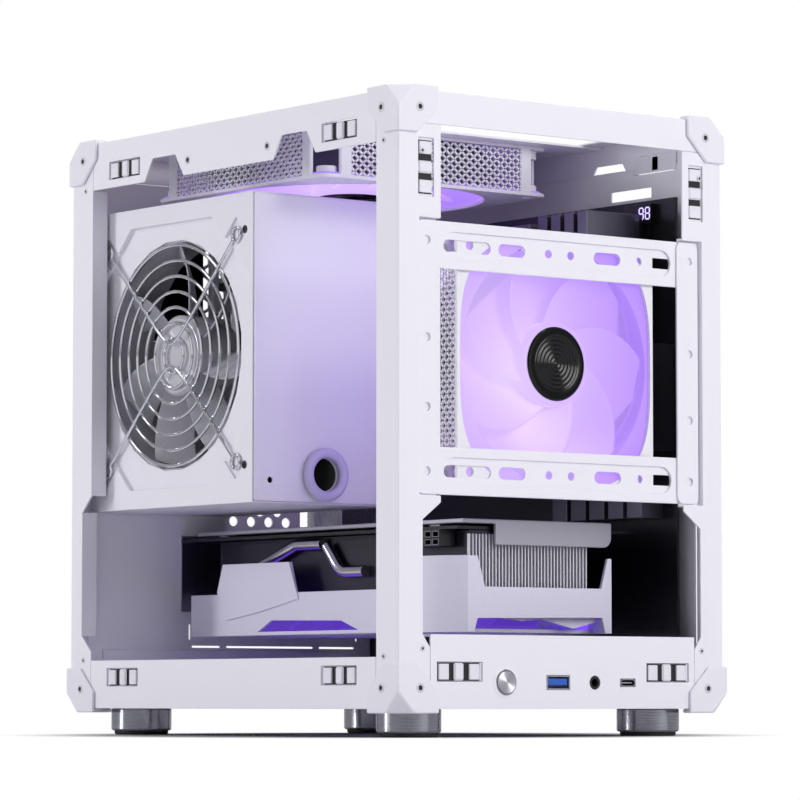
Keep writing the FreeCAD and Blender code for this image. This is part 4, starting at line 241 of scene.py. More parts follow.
cap_x, cap_y = 100.2, 135.7
steel_x, steel_y = 98.5, 134.0
left_and_right = ((-1, "left"), (1, "right"))
cap_enamel = finish("white enamel on pressed caps", "F1EFF7", "E9E7EF", 0.6, 0.36, 0.1, IOR=1.5)
for level in ("top", "bottom"):
    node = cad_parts["corner_caps_" + level]
    corners = np.array([vertex.co for vertex in node.data.vertices]) * 1000
    corners[:, :2] = np.clip(corners[:, :2], [-cap_x, -cap_y], [cap_x, cap_y])
    cap_shape = corners, [list(side.vertices) for side in node.data.polygons]
    caps = make_piece(
        "pressed_caps_" + level, cap_shape, cap_enamel, "case", "white_steel", "corner_caps_" + level,
    )
    whole_faces(caps)
    round_edges(caps, 0.7)

screw_head = lathe(
    [(0.55, -0.9), (2.3, -0.9), (2.3, 0.1), (1.9, 0.3), (1.25, 0.3), (1.2, -0.6), (0.6, -0.6)], 20,
)
recess = lathe([(0.2, -0.6), (1.2, -0.6), (1.2, 0.05), (0.2, 0.0)], 12)
rail_nut = lathe([(1.3, -0.6), (2.2, -0.6), (2.2, 0.1), (2.0, 0.2), (1.4, 0.2)], 20, hollow=True)
rivet_head = lathe([(0.3, -0.5), (1.5, -0.5), (1.5, 0.1), (1.2, 0.25), (0.5, 0.3)], 14)
rivet_bore = lathe([(0.1, 0), (0.65, 0), (0.65, 0.34), (0.1, 0.34)], 10)
cap_seats = []
for across, level in itertools.product((-1, 1), (22.6, 287.8)):
    cap_seats.append(((across * 87.6, -cap_y, level), "front"))
    cap_seats.append(((across * 87.6, cap_y, level), "back"))
    cap_seats += [((side * cap_x, across * 123.0, level), facing) for side, facing in left_and_right]
nut_seats = [
    ((side * steel_x, along, 279.6), facing)
    for along, (side, facing) in itertools.product((-32.0, 33.6), left_and_right)
]
white_screws = finish("painted screw heads", "D9D7DE", "CFCDD6", 0.4, 0.35, 0.1)
make_piece("cap_screws", at_seats(screw_head, cap_seats), white_screws, "case", "white_steel")
make_piece("rail_nuts", at_seats(rail_nut, nut_seats), white_screws, "case", "white_steel")
# The shade finish is painted shade: a dark fill for the bottoms of holes and gaps that lie in shadow.
shade = finish("painted shade in recesses", "17171A", "0E0E10", 0.4, 0.6, 0.1)
rivet_seats = []
for across, (side_level, front_level) in itertools.product((-1, 1), ((36.9, 40.5), (272.7, 268.0))):
    rivet_seats += [((side * steel_x, across * 122.7, side_level), facing) for side, facing in left_and_right]
    rivet_seats.append(((across * 85.0, -steel_y, front_level), "front"))
make_piece("post_rivets", at_seats(rivet_head, rivet_seats), white_screws, "case", "white_steel")
# The dark discs sunk in the screw sockets, nut bores and rivet bores are painted shade.
recesses = joined(at_seats(recess, cap_seats + nut_seats), at_seats(rivet_bore, rivet_seats))
make_piece("screw_recesses", recesses, shade, "case", "black_plastic")

# Feet: turned from aluminium bar with a bevel at each end and anodised dark. The turning
# marks run round, so highlights stand up as bands. A rubber pad is glued under each.
four_corners = list(itertools.product((-1, 1), repeat=2))
anodised = finish(
    "dark anodised aluminium", "B0B0B8", "8C8C94", 0.35, 0.18, 0.2, (30, 30, 1), Metallic=1.0,
)
pad_rubber = finish("black rubber", "1B1B1D", "121214", 0.5, 0.7, 0.3)
foot_turning = lathe([(12.6, 2), (14.2, 2), (15, 2.8), (15, 12.4), (14.6, 13), (12.6, 13)], 72)
pad_moulding = lathe([(11.2, 0), (12.7, 0), (13.4, 0.7), (13.4, 2), (11.2, 2)], 60)
foot_seats = [((x * 73.0, y * 108.5, 0), "up") for x, y in four_corners]
make_piece("turned_feet", at_seats(foot_turning, foot_seats), anodised, "case", "foot_metal", "feet")
make_piece("rubber_pads", at_seats(pad_moulding, foot_seats), pad_rubber, "case", "pad_rubber", "foot_pads")


# Panel clips: spring steel strips behind the windows of the rails, posts and front plate.
# Each is stamped with two pads and a forked finger that the stud of a panel snaps into.
def block(low, high, cut):
    """A block between two corners with all its edges cut: each corner is drawn as three points."""
    low, high = np.array(low, float), np.array(high, float)
    signs = list(itertools.product((0, 1), repeat=3))
    points = []
    for sign, axis in itertools.product(signs, range(3)):
        point = np.where(sign, high - cut, low + cut)
        point[axis] = (low, high)[sign[axis]][axis]
        points.append(point)
    number = {(sign, axis): index for index, (sign, axis) in enumerate(itertools.product(signs, range(3)))}
    faces = [[number[sign, axis] for axis in range(3)] for sign in signs]
    around = [(0, 0), (0, 1), (1, 1), (1, 0)]
    for axis, side in itertools.product(range(3), (0, 1)):
        faces.append([number[tuple(np.insert(pair, axis, side)), axis] for pair in around])
    for axis in range(3):
        first, second = [other for other in range(3) if other != axis]
        for pair in around:
            near, far = tuple(np.insert(pair, axis, 0)), tuple(np.insert(pair, axis, 1))
            faces.append([number[near, first], number[far, first], number[far, second], number[near, second]])
    return np.array(points), faces


# A dark strip behind each clip is painted shade for the shadowed gaps of its window.
clip_shade_back = block((-15.2, -4.1, -0.63), (15.2, 4.1, -0.45), 0.05)
clip_shape = joined(
    block((-15.4, -4.3, -0.8), (15.4, 4.3, -0.62), 0.05),
    block((-15.4, -4.3, -0.46), (-12.4, 4.3, 0), 0.1),
    block((12.4, -4.3, -0.46), (15.4, 4.3, 0), 0.1),
    block((-11.8, -3.6, -0.4), (-6.0, 3.6, 0.75), 0.25),
    block((6.0, -3.6, -0.4), (11.8, 3.6, 0.75), 0.25),
    block((-2.9, -4.1, -0.8), (2.9, 4.1, 0.85), 0.8),
)
steel_gauge = 1.0
clip_x, clip_y = steel_x - steel_gauge, steel_y - steel_gauge
clip_seats = []
for along, level in itertools.product((-88.6, 88.6), (28.4, 281.0)):
    clip_seats += [(90, (side * clip_x, along, level), facing) for side, facing in left_and_right]
for side in (-1, 1):
    clip_seats.append((0, (side * 63.3, -clip_y, 30.0), "front"))
    clip_seats.append((90, (side * 82.7, -clip_y, 260.5), "front"))
clip_steel = finish("white coated spring steel", "F0EEF6", "E4E2EB", 0.4, 0.38, 0.1)
clips = [moved(spun(clip_shape, turn), place, facing) for turn, place, facing in clip_seats]
shade_backs = [moved(spun(clip_shade_back, turn), place, facing) for turn, place, facing in clip_seats]
make_piece("stamped_clips", joined(*clips), clip_steel, "case", "spring_steel", "panel_clips")
# The strips behind the clips carry painted shade.
make_piece("clip_shade_backs", joined(*shade_backs), shade, "case", "spring_steel")


# Front controls: a spun metal power button in a polished rim, and three sockets in
# the plate. The wide socket has a blue tongue; the shells are folded from plated steel.
def ring_points(radius, sides, phase=0.0):
    """Points on a circle, as an array of X and Y."""
    turn = np.arange(sides) * 2 * math.pi / sides + phase
    return np.stack([radius * np.cos(turn), radius * np.sin(turn)], -1)


def round_box(width, height, corner, steps=5):
    """The outline of a rectangle with round corners, counterclockwise."""
    turn = np.linspace(0, math.pi / 2, steps)
    points = []
    for quarter, (x, y) in enumerate([(1, 1), (-1, 1), (-1, -1), (1, -1)]):
        swing = turn + quarter * math.pi / 2
        centre = np.array([x * (width / 2 - corner), y * (height / 2 - corner)])
        points.append(centre + corner * np.stack([np.cos(swing), np.sin(swing)], -1))
    return np.concatenate(points)


def shell(outer, inner, low, high):
    """A tube between two outlines with equal counts of points."""
    rings = [np.c_[outline, np.full(len(outline), level)]
             for outline, level in ((outer, low), (outer, high), (inner, high), (inner, low))]
    return np.concatenate(rings), grid(4, len(outer), closed_rows=True, closed_columns=True)


def on_plate(shape, across, proud=0.0):
    """A shape drawn about its own Z, set in the front plate at the level of the controls."""
    return moved(shape, (across, -steel_y - proud, 25.2), "front")


button_x, usb_x, jack_x, small_x = -36.2, -4.5, 17.9, 38.3
spun_metal = finish(
    "spun stainless steel", "CFCED4", "B9B8C0", 0.25, 0.24, 0.12, Metallic=1.0, Anisotropic=0.5,
)
bright_rim = finish("polished rim", "E9E8EE", "DDDCE3", 0.5, 0.14, 0.04, Metallic=1.0)
rings = [(r, -0.05 * math.cos(r * 2 * math.pi / 0.9) - 0.12) for r in np.arange(5.0, 0.3, -0.15)]
button = lathe([(1.0, -8.7), (5.15, -8.7), (5.3, -8.5), (5.3, -0.55), (5.15, -0.15)] + rings, 48)
button = on_plate(button, button_x, 1.2)
make_piece("power_cap", button, spun_metal, "power_key", "button_metal", "power_button")
rim = lathe([(5.5, 0), (6.1, 0), (6.1, 0.5), (5.95, 0.65), (5.65, 0.65), (5.5, 0.5)], 48, hollow=True)
rim = on_plate(rim, button_x)
make_piece("power_rim", rim, bright_rim, "case", "button_metal", "power_button_rim")
collar = lathe([(6.1, 0), (7.35, 0), (7.3, 0.2), (6.1, 0.35)], 48, hollow=True)
make_piece("power_collar", on_plate(collar, button_x), powder_coat, "case", "button_metal")

plated = finish("nickel plated steel", "C9C8CE", "B4B3BA", 0.5, 0.28, 0.05, Metallic=1.0)
blue_tongue = finish("blue plastic", "2A63C8", "1F54B4", 0.6, 0.4, 0.1)
black_plastic = finish("black moulded plastic", "1A1A1D", "121215", 0.4, 0.45, 0.15)
wide_shell = joined(
    shell(round_box(14, 6.6, 0.7), round_box(12.8, 5.4, 0.4), -13, 0),
    block((-6.4, -2.7, -13), (6.4, 2.7, -12.4), 0.05),
)
make_piece("usb_shell", on_plate(wide_shell, usb_x), plated, "case", "port_metal", "usb_a_port")
tongue = block((-6.0, -1.3, -12.5), (6.0, 1.9, -0.7), 0.15)
make_piece("usb_tongue", on_plate(tongue, usb_x), blue_tongue, "case", "port_metal")
small_shell = joined(
    shell(round_box(9.4, 3.6, 1.79), round_box(8.5, 2.7, 1.34), -13, 0),
    block((-3.3, -0.35, -13), (3.3, 0.35, -0.8), 0.1),
    block((-4.2, -1.3, -13), (4.2, 1.3, -12.4), 0.05),
)
make_piece("usb_small", on_plate(small_shell, small_x), plated, "case", "port_metal", "usb_c_port")
jack = joined(
    lathe([(1.8, -12), (3.1, -12), (3.1, -0.3), (2.8, 0), (2.1, 0), (1.8, -0.4)], 36, hollow=True),
    lathe([(0.5, -13), (3.1, -13), (3.1, -12), (0.5, -12)], 36),
)
make_piece("jack_socket", on_plate(jack, jack_x), black_plastic, "case", "black_plastic", "audio_jack")
io_mask = finish("dark green solder mask", "16231C", "0E1712", 1.5, 0.35, 0.2)
dress(io_mask, 0.1, "front_io_board")


# Front bracket: two rails on two columns, pressed from 1.2 mm steel and coated white. Each
# rail has a long sunk panel with round ends, and slots and holes for drives and the fan.
def cut_sheet(loops, gauge, edge):
    """A flat sheet from Z 0 to its gauge with rolled edges; the first loop is the outline, the rest holes."""
    curve = bpy.data.curves.new("cut", "CURVE")
    curve.dimensions = "2D"
    curve.fill_mode = "BOTH"
    curve.extrude = gauge / 2 - edge
    curve.bevel_depth = edge
    curve.bevel_resolution = 1
    curve.offset = -edge
    for loop in loops:
        line = curve.splines.new("POLY")
        line.points.add(len(loop) - 1)
        line.points.foreach_set("co", np.c_[loop, np.zeros(len(loop)), np.ones(len(loop))].ravel())
        line.use_cyclic_u = True
    holder = bpy.data.objects.new("cut", curve)
    mesh = bpy.data.meshes.new_from_object(holder)
    points = np.array([vertex.co for vertex in mesh.vertices])
    points[:, 2] += gauge / 2
    faces = [list(side.vertices) for side in mesh.polygons]
    bpy.data.objects.remove(holder)
    bpy.data.meshes.remove(mesh)
    return points, faces


def slot_outline(x, y, length, width):
    """The outline of a slot with round ends; as long as wide, it is a hole."""
    return round_box(length, width, width / 2 - 0.001, 9) + [x, y]


sheets = []
column_holes = [10.6, 40.0, 72.0, 116.6]
for side in (-1, 1):
    outline = round_box(13.4, 126.0, 3.5) + [side * 79.2, 173.8]
    loops = [outline] + [slot_outline(side * 80.3, 110.8 + rise, 4.0, 4.0) for rise in column_holes]
    sheets.append(moved(cut_sheet(loops, 1.2, 0.3), (0, -130.4, 0), "front"))
rail_openings = [
    (43.7, 28.0, 5.6), (70.4, 16.0, 5.6), (92.6, 4.0, 4.0), (106.3, 4.0, 4.0),
    (128.9, 16.5, 5.6), (148.6, 4.0, 4.0), (162.6, 14.4, 5.6),
]
for level in (121.8, 225.8):
    panel = slot_outline(0, level, 139.0, 12.6)
    sunk_panel = [slot_outline(0, level, 140.6, 14.2)]
    for place, length, width in rail_openings:
        sunk_panel.append(slot_outline(place - steel_x, level, length, width))
    frame_loop = round_box(147.6, 22.0, 0.6) + [0, level]
    sheets.append(moved(cut_sheet([frame_loop, panel], 1.2, 0.45), (0, -129.2, 0), "front"))
    sheets.append(moved(cut_sheet(sunk_panel, 1.0, 0.25), (0, -128.22, 0), "front"))
make_piece("pressed_bracket", joined(*sheets), powder_coat, "case", "white_steel", "front_drive_bracket")

# Rear panel: one flat sheet cut out for the power supply, the ports and two card slots, with
# round vents beside the supply. A third slot is only scored and still holds by bridges.
panel_cuts = [round_box(177.8, 258.5, 1.0, 3) + [0, 151.25]]
panel_cuts.append(round_box(80.0, 144.0, 1.0, 3) + [-45.2, 186.6])
panel_cuts.append(round_box(44.3, 158.8, 0.6, 3) + [65.85, 178.0])
panel_cuts += [round_box(108.3, 12.1, 0.6, 3) + [27.05, level] for level in (70.3, 90.6)]
for middle, length in ((-16.3, 17.6), (24.4, 55.6), (67.7, 23.0)):
    panel_cuts.append(round_box(length, 1.0, 0.3, 2) + [middle, 44.45])
panel_cuts += [round_box(1.0, 8.1, 0.3, 2) + [end, 52.0] for end in (-26.6, 80.7)]
panel_cuts += [round_box(8.0, 1.0, 0.3, 2) + [middle, 56.5] for middle in (-3.5, 27.0, 54.0)]
for row in range(26):
    for column in range(4 - row % 2):
        panel_cuts.append(ring_points(2.6, 14) + [0.9 + 11.2 * column + 5.6 * (row % 2), 109.5 + 5.5 * row])
rear_panel = moved(cut_sheet(panel_cuts, steel_gauge, 0.12), (0, steel_y, 0), "front")
make_piece("cut_rear_panel", rear_panel, powder_coat, "case", "white_steel", "rear_panel")


# Case fans: a white moulded frame with lattice sides and open corners, and a rotor of
# seven swept blades in clear plastic, lit from the hub by violet diodes. A glossy black
# cap with grooves is glued on the hub.
fan_wall = 3.4


def lattice(length, low, high, step, rise, bar, depth):
    """Slanted bars in two directions between two heights, as a wall in X and Z whose face is at Y = 0."""
    lean = step / rise
    bar_faces = [[0, 1, 2, 3], [7, 6, 5, 4], [0, 4, 5, 1], [1, 5, 6, 2], [2, 6, 7, 3], [3, 7, 4, 0]]
    shapes = []
    for way in (-1, 1):
        thick = depth if way > 0 else depth - 0.12
        for start in np.arange(-length / 2 - (high - low) * lean, length / 2 + (high - low) * lean, step):
            ends = np.array([start, start + way * (high - low) * lean])
            share = np.clip((np.array([-length / 2, length / 2]) - ends[0]) / (ends[1] - ends[0]), 0, 1)
            share.sort()
            if (share[1] - share[0]) * (high - low) < 1.0:
                continue
            u = ends[0] + share * (ends[1] - ends[0])
            v = low + share * (high - low)
            away = np.array([v[0] - v[1], u[1] - u[0]])
            away *= bar / 2 / np.hypot(*away)
            line = [(u[0] - away[0], v[0] - away[1]), (u[1] - away[0], v[1] - away[1]),
                    (u[1] + away[0], v[1] + away[1]), (u[0] + away[0], v[0] + away[1])]
            line = np.clip(line, [-length / 2, low], [length / 2, high])
            points = [(x, y, z) for y in (0, thick) for x, z in line]
            shapes.append((points, bar_faces))
    return joined(*shapes)


def squarish(half, power, sides):
    """The outline where X and Y over the half width, each to a power, add to one."""
    ring = ring_points(1.0, sides)
    return half * np.sign(ring) * np.abs(ring) ** (2 / power)


def fan_frame(width, holes, mouth):
    """Frame about Z from 0 to 25: two flanges, lattice walls, corner posts and lugs and the motor base."""
    half = width / 2
    bore = half - fan_wall
    loops = [round_box(width, width, 5.0, 6), mouth]
    loops += [ring_points(2.2, 16) + [x * holes / 2, y * holes / 2] for x, y in four_corners]
    flange = cut_sheet(loops, 1.8, 0.4)
    rear_flange = cut_sheet([loops[0], ring_points(bore, 96)] + loops[2:], 1.8, 0.4)
    parts = [flange, moved(rear_flange, (0, 0, 23.2))]
    length = width - 34
    wall = lattice(length, 1.6, 23.4, 4.9, 4.3, 1.15, 1.3)
    for quarter in range(4):
        for side in (-1, 1):
            post = block((-3.5, 0, 1), (3.5, 2.2, 24), 0.6)
            parts.append(spun(moved(post, (side * (length / 2 + 3), -half, 0)), 90 * quarter))
        parts.append(spun(moved(wall, (0, -half + 0.1, 0)), 90 * quarter))
        strut = block((19, -2, 21.2), (bore + 0.6, 2, 24.6), 0.6)
        parts.append(spun(strut, 90 * quarter))
    lug = lathe([(2.2, 1.5), (5.0, 1.5), (5.0, 5.5), (4.6, 6), (2.2, 6)], 24, hollow=True)
    for x, y in four_corners:
        parts.append(moved(lug, (x * holes / 2, y * holes / 2, 0)))
        parts.append(moved(lug, (x * holes / 2, y * holes / 2, 17.5)))
    parts.append(lathe([(4, 21.05), (19.4, 21.05), (20, 21.6), (20, 24.4), (19.4, 25), (4, 25)], 48))
    return joined(*parts)


def blades(hub, reach, low, high, root, tip, sweep, count):
    """Blades about Z. At span s and chord share t the radius is hub + (reach - hub) s, the angle is the
    half chord times t cos(pitch) over the radius plus sweep s squared, and the height is the middle
    plus the half chord times t sin(pitch). The pitch runs from root to tip in degrees."""
    rows, half_count, thick = 13, 12, 0.8
    span = np.linspace(0, 1, rows)[:, None]
    half_loop = np.cos(np.linspace(math.pi, 0, half_count))
    chord = np.concatenate([half_loop, half_loop[::-1][1:-1]])[None, :]
    side = np.concatenate([np.ones(half_count), -np.ones(half_count - 2)])[None, :]
    pitch = np.radians(root + (tip - root) * span)
    half = (high - low - 2 * thick) / 2 / np.sin(pitch)
    skin = side * thick * np.sqrt(np.clip(1 - chord ** 2, 0, 1)) ** 0.5
    radius = hub + (reach - hub) * span
    around = half * chord * np.cos(pitch) - skin * np.sin(pitch)
    level = (low + high) / 2 + half * chord * np.sin(pitch) + skin * np.cos(pitch)
    turn = around / radius + math.radians(sweep) * span ** 2
    points = np.stack([radius * np.cos(turn), radius * np.sin(turn), level], -1)
    columns = chord.shape[1]
    faces = grid(rows, columns, closed_columns=True)
    faces += [list(range(columns))[::-1], list(range((rows - 1) * columns, rows * columns))]
    vane = points.reshape(-1, 3), faces
    return joined(*[spun(vane, 360 / count * index) for index in range(count)])


def rotor(reach, root, tip, sweep):
    """Hub cup on its shaft, about Z, with seven twisted blades."""
    cup = [(2, 1.4), (19, 1.4), (20, 2.4), (20, 18.8), (18.6, 20), (1.95, 20), (1.95, 23.3)]
    return joined(lathe(cup, 64), blades(19.2, reach, 3.2, 18.2, root, tip, sweep, 7))


def glow(name, centre, spot, reach, colours, strength):
    """Lit plastic: colour runs from a bright spot outward over the reach in millimetres."""
    material = bpy.data.materials.new(name)
    material.use_nodes = True
    tree = material.node_tree
    tree.nodes.clear()
    where = add(tree, "TexCoord", {}, {})
    middle = [-(c + s) / 1000 for c, s in zip(centre, spot)]
    shifted = add(tree, "Mapping", {"Location": middle}, {"Vector": where.outputs["Object"]})
    away = add(tree, "VectorMath", {"operation": "LENGTH"}, {0: shifted.outputs[0]})
    share = add(tree, "MapRange", {2: reach / 1000}, {0: away.outputs["Value"]})
    ramp = add(tree, "ValToRGB", {}, {0: share.outputs[0]})
    stops = ramp.color_ramp.elements
    stops[0].color = linear(colours[0])
    stops[1].color = linear(colours[-1])
    for index, colour in enumerate(colours[1:-1], start=1):
        stops.new(index / (len(colours) - 1)).color = linear(colour)
    frost = add(tree, "TexNoise", {"Scale": 900.0}, {"Vector": where.outputs["Object"]})
    gloss = add(tree, "MapRange", {3: 0.25, 4: 0.4}, {0: frost.outputs[0]})
    surface = add(
        tree, "BsdfPrincipled",
        {"Base Color": linear("7E62B8"), "Emission Strength": strength, "Alpha": 0.88},
        {"Emission Color": ramp.outputs[0], "Roughness": gloss.outputs[0]},
    )
    add(tree, "OutputMaterial", {}, {"Surface": surface.outputs[0]})
    return material


fan_white = finish("white moulded plastic", "F2F1F6", "E8E7ED", 0.8, 0.45, 0.08)
# The smoky grey of the duct is painted shade, dark behind the lattice.
painted_shade_duct = finish("smoky plastic", "55525E", "494652", 0.8, 0.5, 0.08)
lit = ["F6E6FF", "E9D0FF", "D9BCFA", "C8A2F6", "AF86EC"]
front_glow = glow("violet lit blades in front", (0, -116, 174.5), (-24, 0, -6), 92, lit, 0.68)
top_glow = glow("violet lit blades on top", (0, 31.5, 279), (0, 0, 0), 70, lit, 0.75)
gloss_black = finish("glossy black plastic", "08080A", "040405", 0.8, 0.13, 0.02, IOR=1.42)
grooves = [
    (r, 0.1 + 0.16 * (1 - math.cos(r * 2 * math.pi / 2.1)) + 0.018 * r)
    for r in np.arange(0.4, 13.2, 0.2)
]
cap_top = [(16.9, 1.35), (17.5, 0.9), (16.8, 0.25), (15.2, 0.12), (13.6, 0.25)] + grooves[::-1]
hub_cap = lathe(cap_top[::-1] + [(2, 1.38)], 72)
# Place, facing side, width, pitch of the holes, reach of the blades, finish and mouth
fans = {
    "front": ((0, -128.2, 174.5), "back", 120, 105, 55.0, front_glow, squarish(58.2, 3.3, 96)),
    "top": ((0, 31.5, 266.8), "up", 140, 124.5, 65.0, top_glow, ring_points(66.6, 96)),
}
for name, (place, facing, width, holes, reach, lit_plastic, mouth) in fans.items():
    body = name + "_fan"
    bore = width / 2 - fan_wall
    # The inner skin of the duct glows violet: painted light from the blades falling on it.
    painted_violet_lining = lathe([(bore, 1.9), (bore + 0.5, 1.9), (bore + 0.5, 24.5), (bore, 24.5)], 96, hollow=True)
    violet_glow = cut_sheet([round_box(width - 3, width - 3, 5.0, 6), ring_points(bore, 96)], 1.0, 0.1)
    duct = lathe([(bore + 0.5, 3), (bore + 1.2, 3), (bore + 1.2, 24.5), (bore + 0.5, 24.5)], 96, hollow=True)
    violet_glow = joined(painted_violet_lining, moved(violet_glow, (0, 0, 1.85)))
    for kind, shape, material, rider, finish_slot, nodes in (
        ("_lattice_frame", fan_frame(width, holes, mouth), fan_white, "case", "fan_white", [body + "_frame"]),
        ("_violet_glow", violet_glow, lit_plastic, "case", "fan_white", []),
        ("_duct", duct, painted_shade_duct, "case", "fan_white", []),
        ("_blades", rotor(reach, 20, 11, 30), lit_plastic, body, "fan_blade", [body + "_rotor"]),
        ("_hub_disc", hub_cap, gloss_black, body, "hub_black", [body + "_hub_cap"]),
    ):
        make_piece(name + kind, moved(shape, place, facing), material, rider, finish_slot, *nodes)


# Power supply: two folded covers in satin grey, with a dished octagon round the fan. The
# guard is chromed wire, seven rings welded on two bent wires that end in eyes.
def tube(line, radius, sides, up):
    """A round wire along points: the ring at each point stands across the run, from the up direction."""
    line = np.asarray(line, float)
    run = np.gradient(line, axis=0)
    run /= np.linalg.norm(run, axis=1)[:, None]
    side = np.cross(np.array(up, float), run)
    side /= np.linalg.norm(side, axis=1)[:, None]
    over = np.cross(run, side)
    turn = np.arange(sides) * 2 * math.pi / sides
    ring = np.cos(turn)[:, None] * side[:, None] + np.sin(turn)[:, None] * over[:, None]
    points = line[:, None] + radius * ring
    faces = grid(len(line), sides, closed_columns=True)
    faces += [list(range(sides))[::-1], list(range((len(line) - 1) * sides, len(line) * sides))]
    return points.reshape(-1, 3), faces


def wire_ring(radius, wire, sides):
    """A ring of round wire about Z."""
    turn = np.arange(10) * 2 * math.pi / 10
    return lathe(np.stack([radius + wire * np.cos(turn), wire * np.sin(turn)], -1), sides, hollow=True)


satin_grey = finish("satin grey coated steel", "EEECF4", "E5E3EC", 0.5, 0.5, 0.1)
dress(satin_grey, 0.3, "psu_cover")
supply_front, supply_back = -7.0, 133.0
supply_gauge = 0.8
fan_y, fan_z = 63.0, 186.6
cable_x, cable_z = -46.2, 125.9
vents = []
for row, column in itertools.product(range(9), range(13)):
    x = -81.5 + 6.6 * column + 3.3 * (row % 2)
    z = 203.5 + 5.72 * row
    if x < -6 and not -62.5 < x < -28 and z < 256:
        vents.append(ring_points(2.9, 6, math.pi / 6) + [x, z])
end_outline = round_box(85.2, 148.4, 0.6, 2) + [-44.8, fan_z]
inlet_hole = round_box(28, 48, 0.5, 2) + [-45.2, 224.1]
rear_sheet = cut_sheet([end_outline] + vents + [inlet_hole], supply_gauge, 0.12)
cable_hole = ring_points(8, 40) + [cable_x, cable_z]
screw_hole = ring_points(1.5, 16) + [-78.0, 122.5]
cable_sheet = cut_sheet([end_outline, cable_hole, screw_hole], supply_gauge, 0.2)
chassis = joined(
    moved(rear_sheet, (0, supply_back, 0), "front"),
    moved(cable_sheet, (0, supply_front + supply_gauge, 0), "front"),
    block((-3.0, supply_front, 112.4), (-2.2, supply_back, 260.8), 0.12),
)
make_piece("folded_chassis", chassis, satin_grey, "case", "psu_steel", "psu_chassis")
# The two screw heads on the supply's side take the painted shade finish and stand in for the dark holes that
# they sit in.
cover_screw = lathe([(0.5, -0.5), (2.0, -0.5), (2.0, 0.15), (1.6, 0.35), (0.8, 0.35), (0.7, 0), (0.5, 0)], 18)
cover_screws = [moved(cover_screw, (-88.2, 0, level), "left") for level in (129.8, 243.4)]
make_piece("cover_screws", joined(*cover_screws), shade, "case", "psu_steel")
chrome = finish("chromed wire", "F0F0F4", "E2E2E8", 0.8, 0.1, 0.02, Metallic=1.0)
wires = [moved(wire_ring(54.6 - 7.7 * index, 0.85, 72), (0, 0, 2.7)) for index in range(7)]
lean = np.linspace(-52.5, 52.5, 61)
for side in (-1, 1):
    bent = np.stack([side * np.sqrt((lean * 0.994) ** 2 + 5.6 ** 2), lean, np.full(61, 0.9)], -1)
    wires.append(tube(bent, 0.85, 10, (0, 0, 1)))
    for end in (-1, 1):
        wires.append(moved(wire_ring(3.4, 0.85, 24), (side * 55.0, end * 55.0, 0.9)))
guard = moved(joined(*wires), (-88.6, fan_y, fan_z), "right")
make_piece("wire_guard", guard, chrome, "case", "wire_chrome", "psu_fan_grille")

wheel_grey = finish("grey moulded plastic", "C2C1CA", "B0AFB8", 0.7, 0.4, 0.1)
dress(wheel_grey, 0.4, "psu_fan_frame")
wheel_place = (-84.9, fan_y, fan_z)
wheel = moved(spun(rotor(55.0, -50, -34, -12), 26), wheel_place, "right")
make_piece("psu_wheel", wheel, wheel_grey, "psu_fan", "psu_fan_grey", "psu_fan_rotor")
label_foil = finish("silver foil disc", "DEDDE4", "CFCED6", 0.8, 0.3, 0.05, Metallic=0.6)
disc = lathe([(2, 1.3), (18.2, 1.3), (18.4, 1.0), (18.0, 0.8), (2, 0.8)], 64)
make_piece("psu_hub_disc", moved(disc, wheel_place, "right"), label_foil, "psu_fan", "psu_fan_grey")
lilac_rubber = finish("lilac rubber", "CFC7EA", "C2B9E0", 0.6, 0.5, 0.12)
swing = np.arange(16) * 2 * math.pi / 16
lip = np.stack([10.5 + 2.5 * np.cos(swing), 2.5 + 2.5 * np.sin(swing)], -1)
grommet = moved(lathe(lip, 56, hollow=True), (cable_x, supply_front, cable_z), "front")
make_piece("cable_grommet", grommet, lilac_rubber, "case", "grommet_rubber", "psu_cable_grommet")
black_inlet = finish("black glazed plastic", "1C1C1F", "131316", 0.6, 0.3, 0.08)
dress(black_inlet, 0.4, "psu_inlet", "psu_rocker_switch")
supply_board = finish("dark green circuit board", "2E3A34", "25302A", 1.2, 0.5, 0.2)
dress(supply_board, 0.3, "psu_board")

# Main board: black solder mask on a bare tray, with four memory modules, a low
# cooler and finned heat sinks of grey aluminium. A two-digit display is lit on its edge.
solder_mask = finish("black solder mask", "17171B", "0C0C0F", 1.8, 0.32, 0.35)
dress(solder_mask, 0.2, "motherboard")
grey_aluminium = finish(
    "grey anodised aluminium", "77757F", "6A6872", 0.5, 0.35, 0.12, (8, 1, 1), Metallic=0.8,
)
dress(grey_aluminium, 0.4, "vrm_heatsink", "chipset_heatsink")
memory_metal = finish("brushed memory shells", "6E6C78", "605E6A", 0.4, 0.32, 0.15, (1, 1, 14), Metallic=0.85)
dress(memory_metal, 0.4, "memory_modules")
cooler_metal = finish("bright fin aluminium", "B9B8C2", "A9A8B3", 0.5, 0.3, 0.1, (1, 6, 1), Metallic=0.9)
dress(cooler_metal, 0.2, "cpu_cooler")
dress(plated, 0.3, "rear_io_ports")
digits = []
display_level = 254.6
back_x, front_x = 83.9, 84.25
for index in range(2):
    middle = -92.6 - 4.6 * index
    for up in (-1, 0, 1):
        bar = display_level + up * 2.8
        digits.append(block((back_x, middle - 1.2, bar - 0.3), (front_x, middle + 1.2, bar + 0.3), 0.08))
    for side, up in four_corners:
        along, bar = middle + side * 1.5, display_level + up * 1.4
        digits.append(block((back_x, along - 0.3, bar - 1.1), (front_x, along + 0.3, bar + 1.1), 0.08))
display_light = finish(
    "lit display segments", "E6DCFF", "D6C8FF", 0.5, 0.4, 0.02,
    Emission_Color=linear("CDBBFF"), Emission_Strength=1.2,
)
make_piece("display_segments", joined(*digits), display_light, "case", "circuit_board")


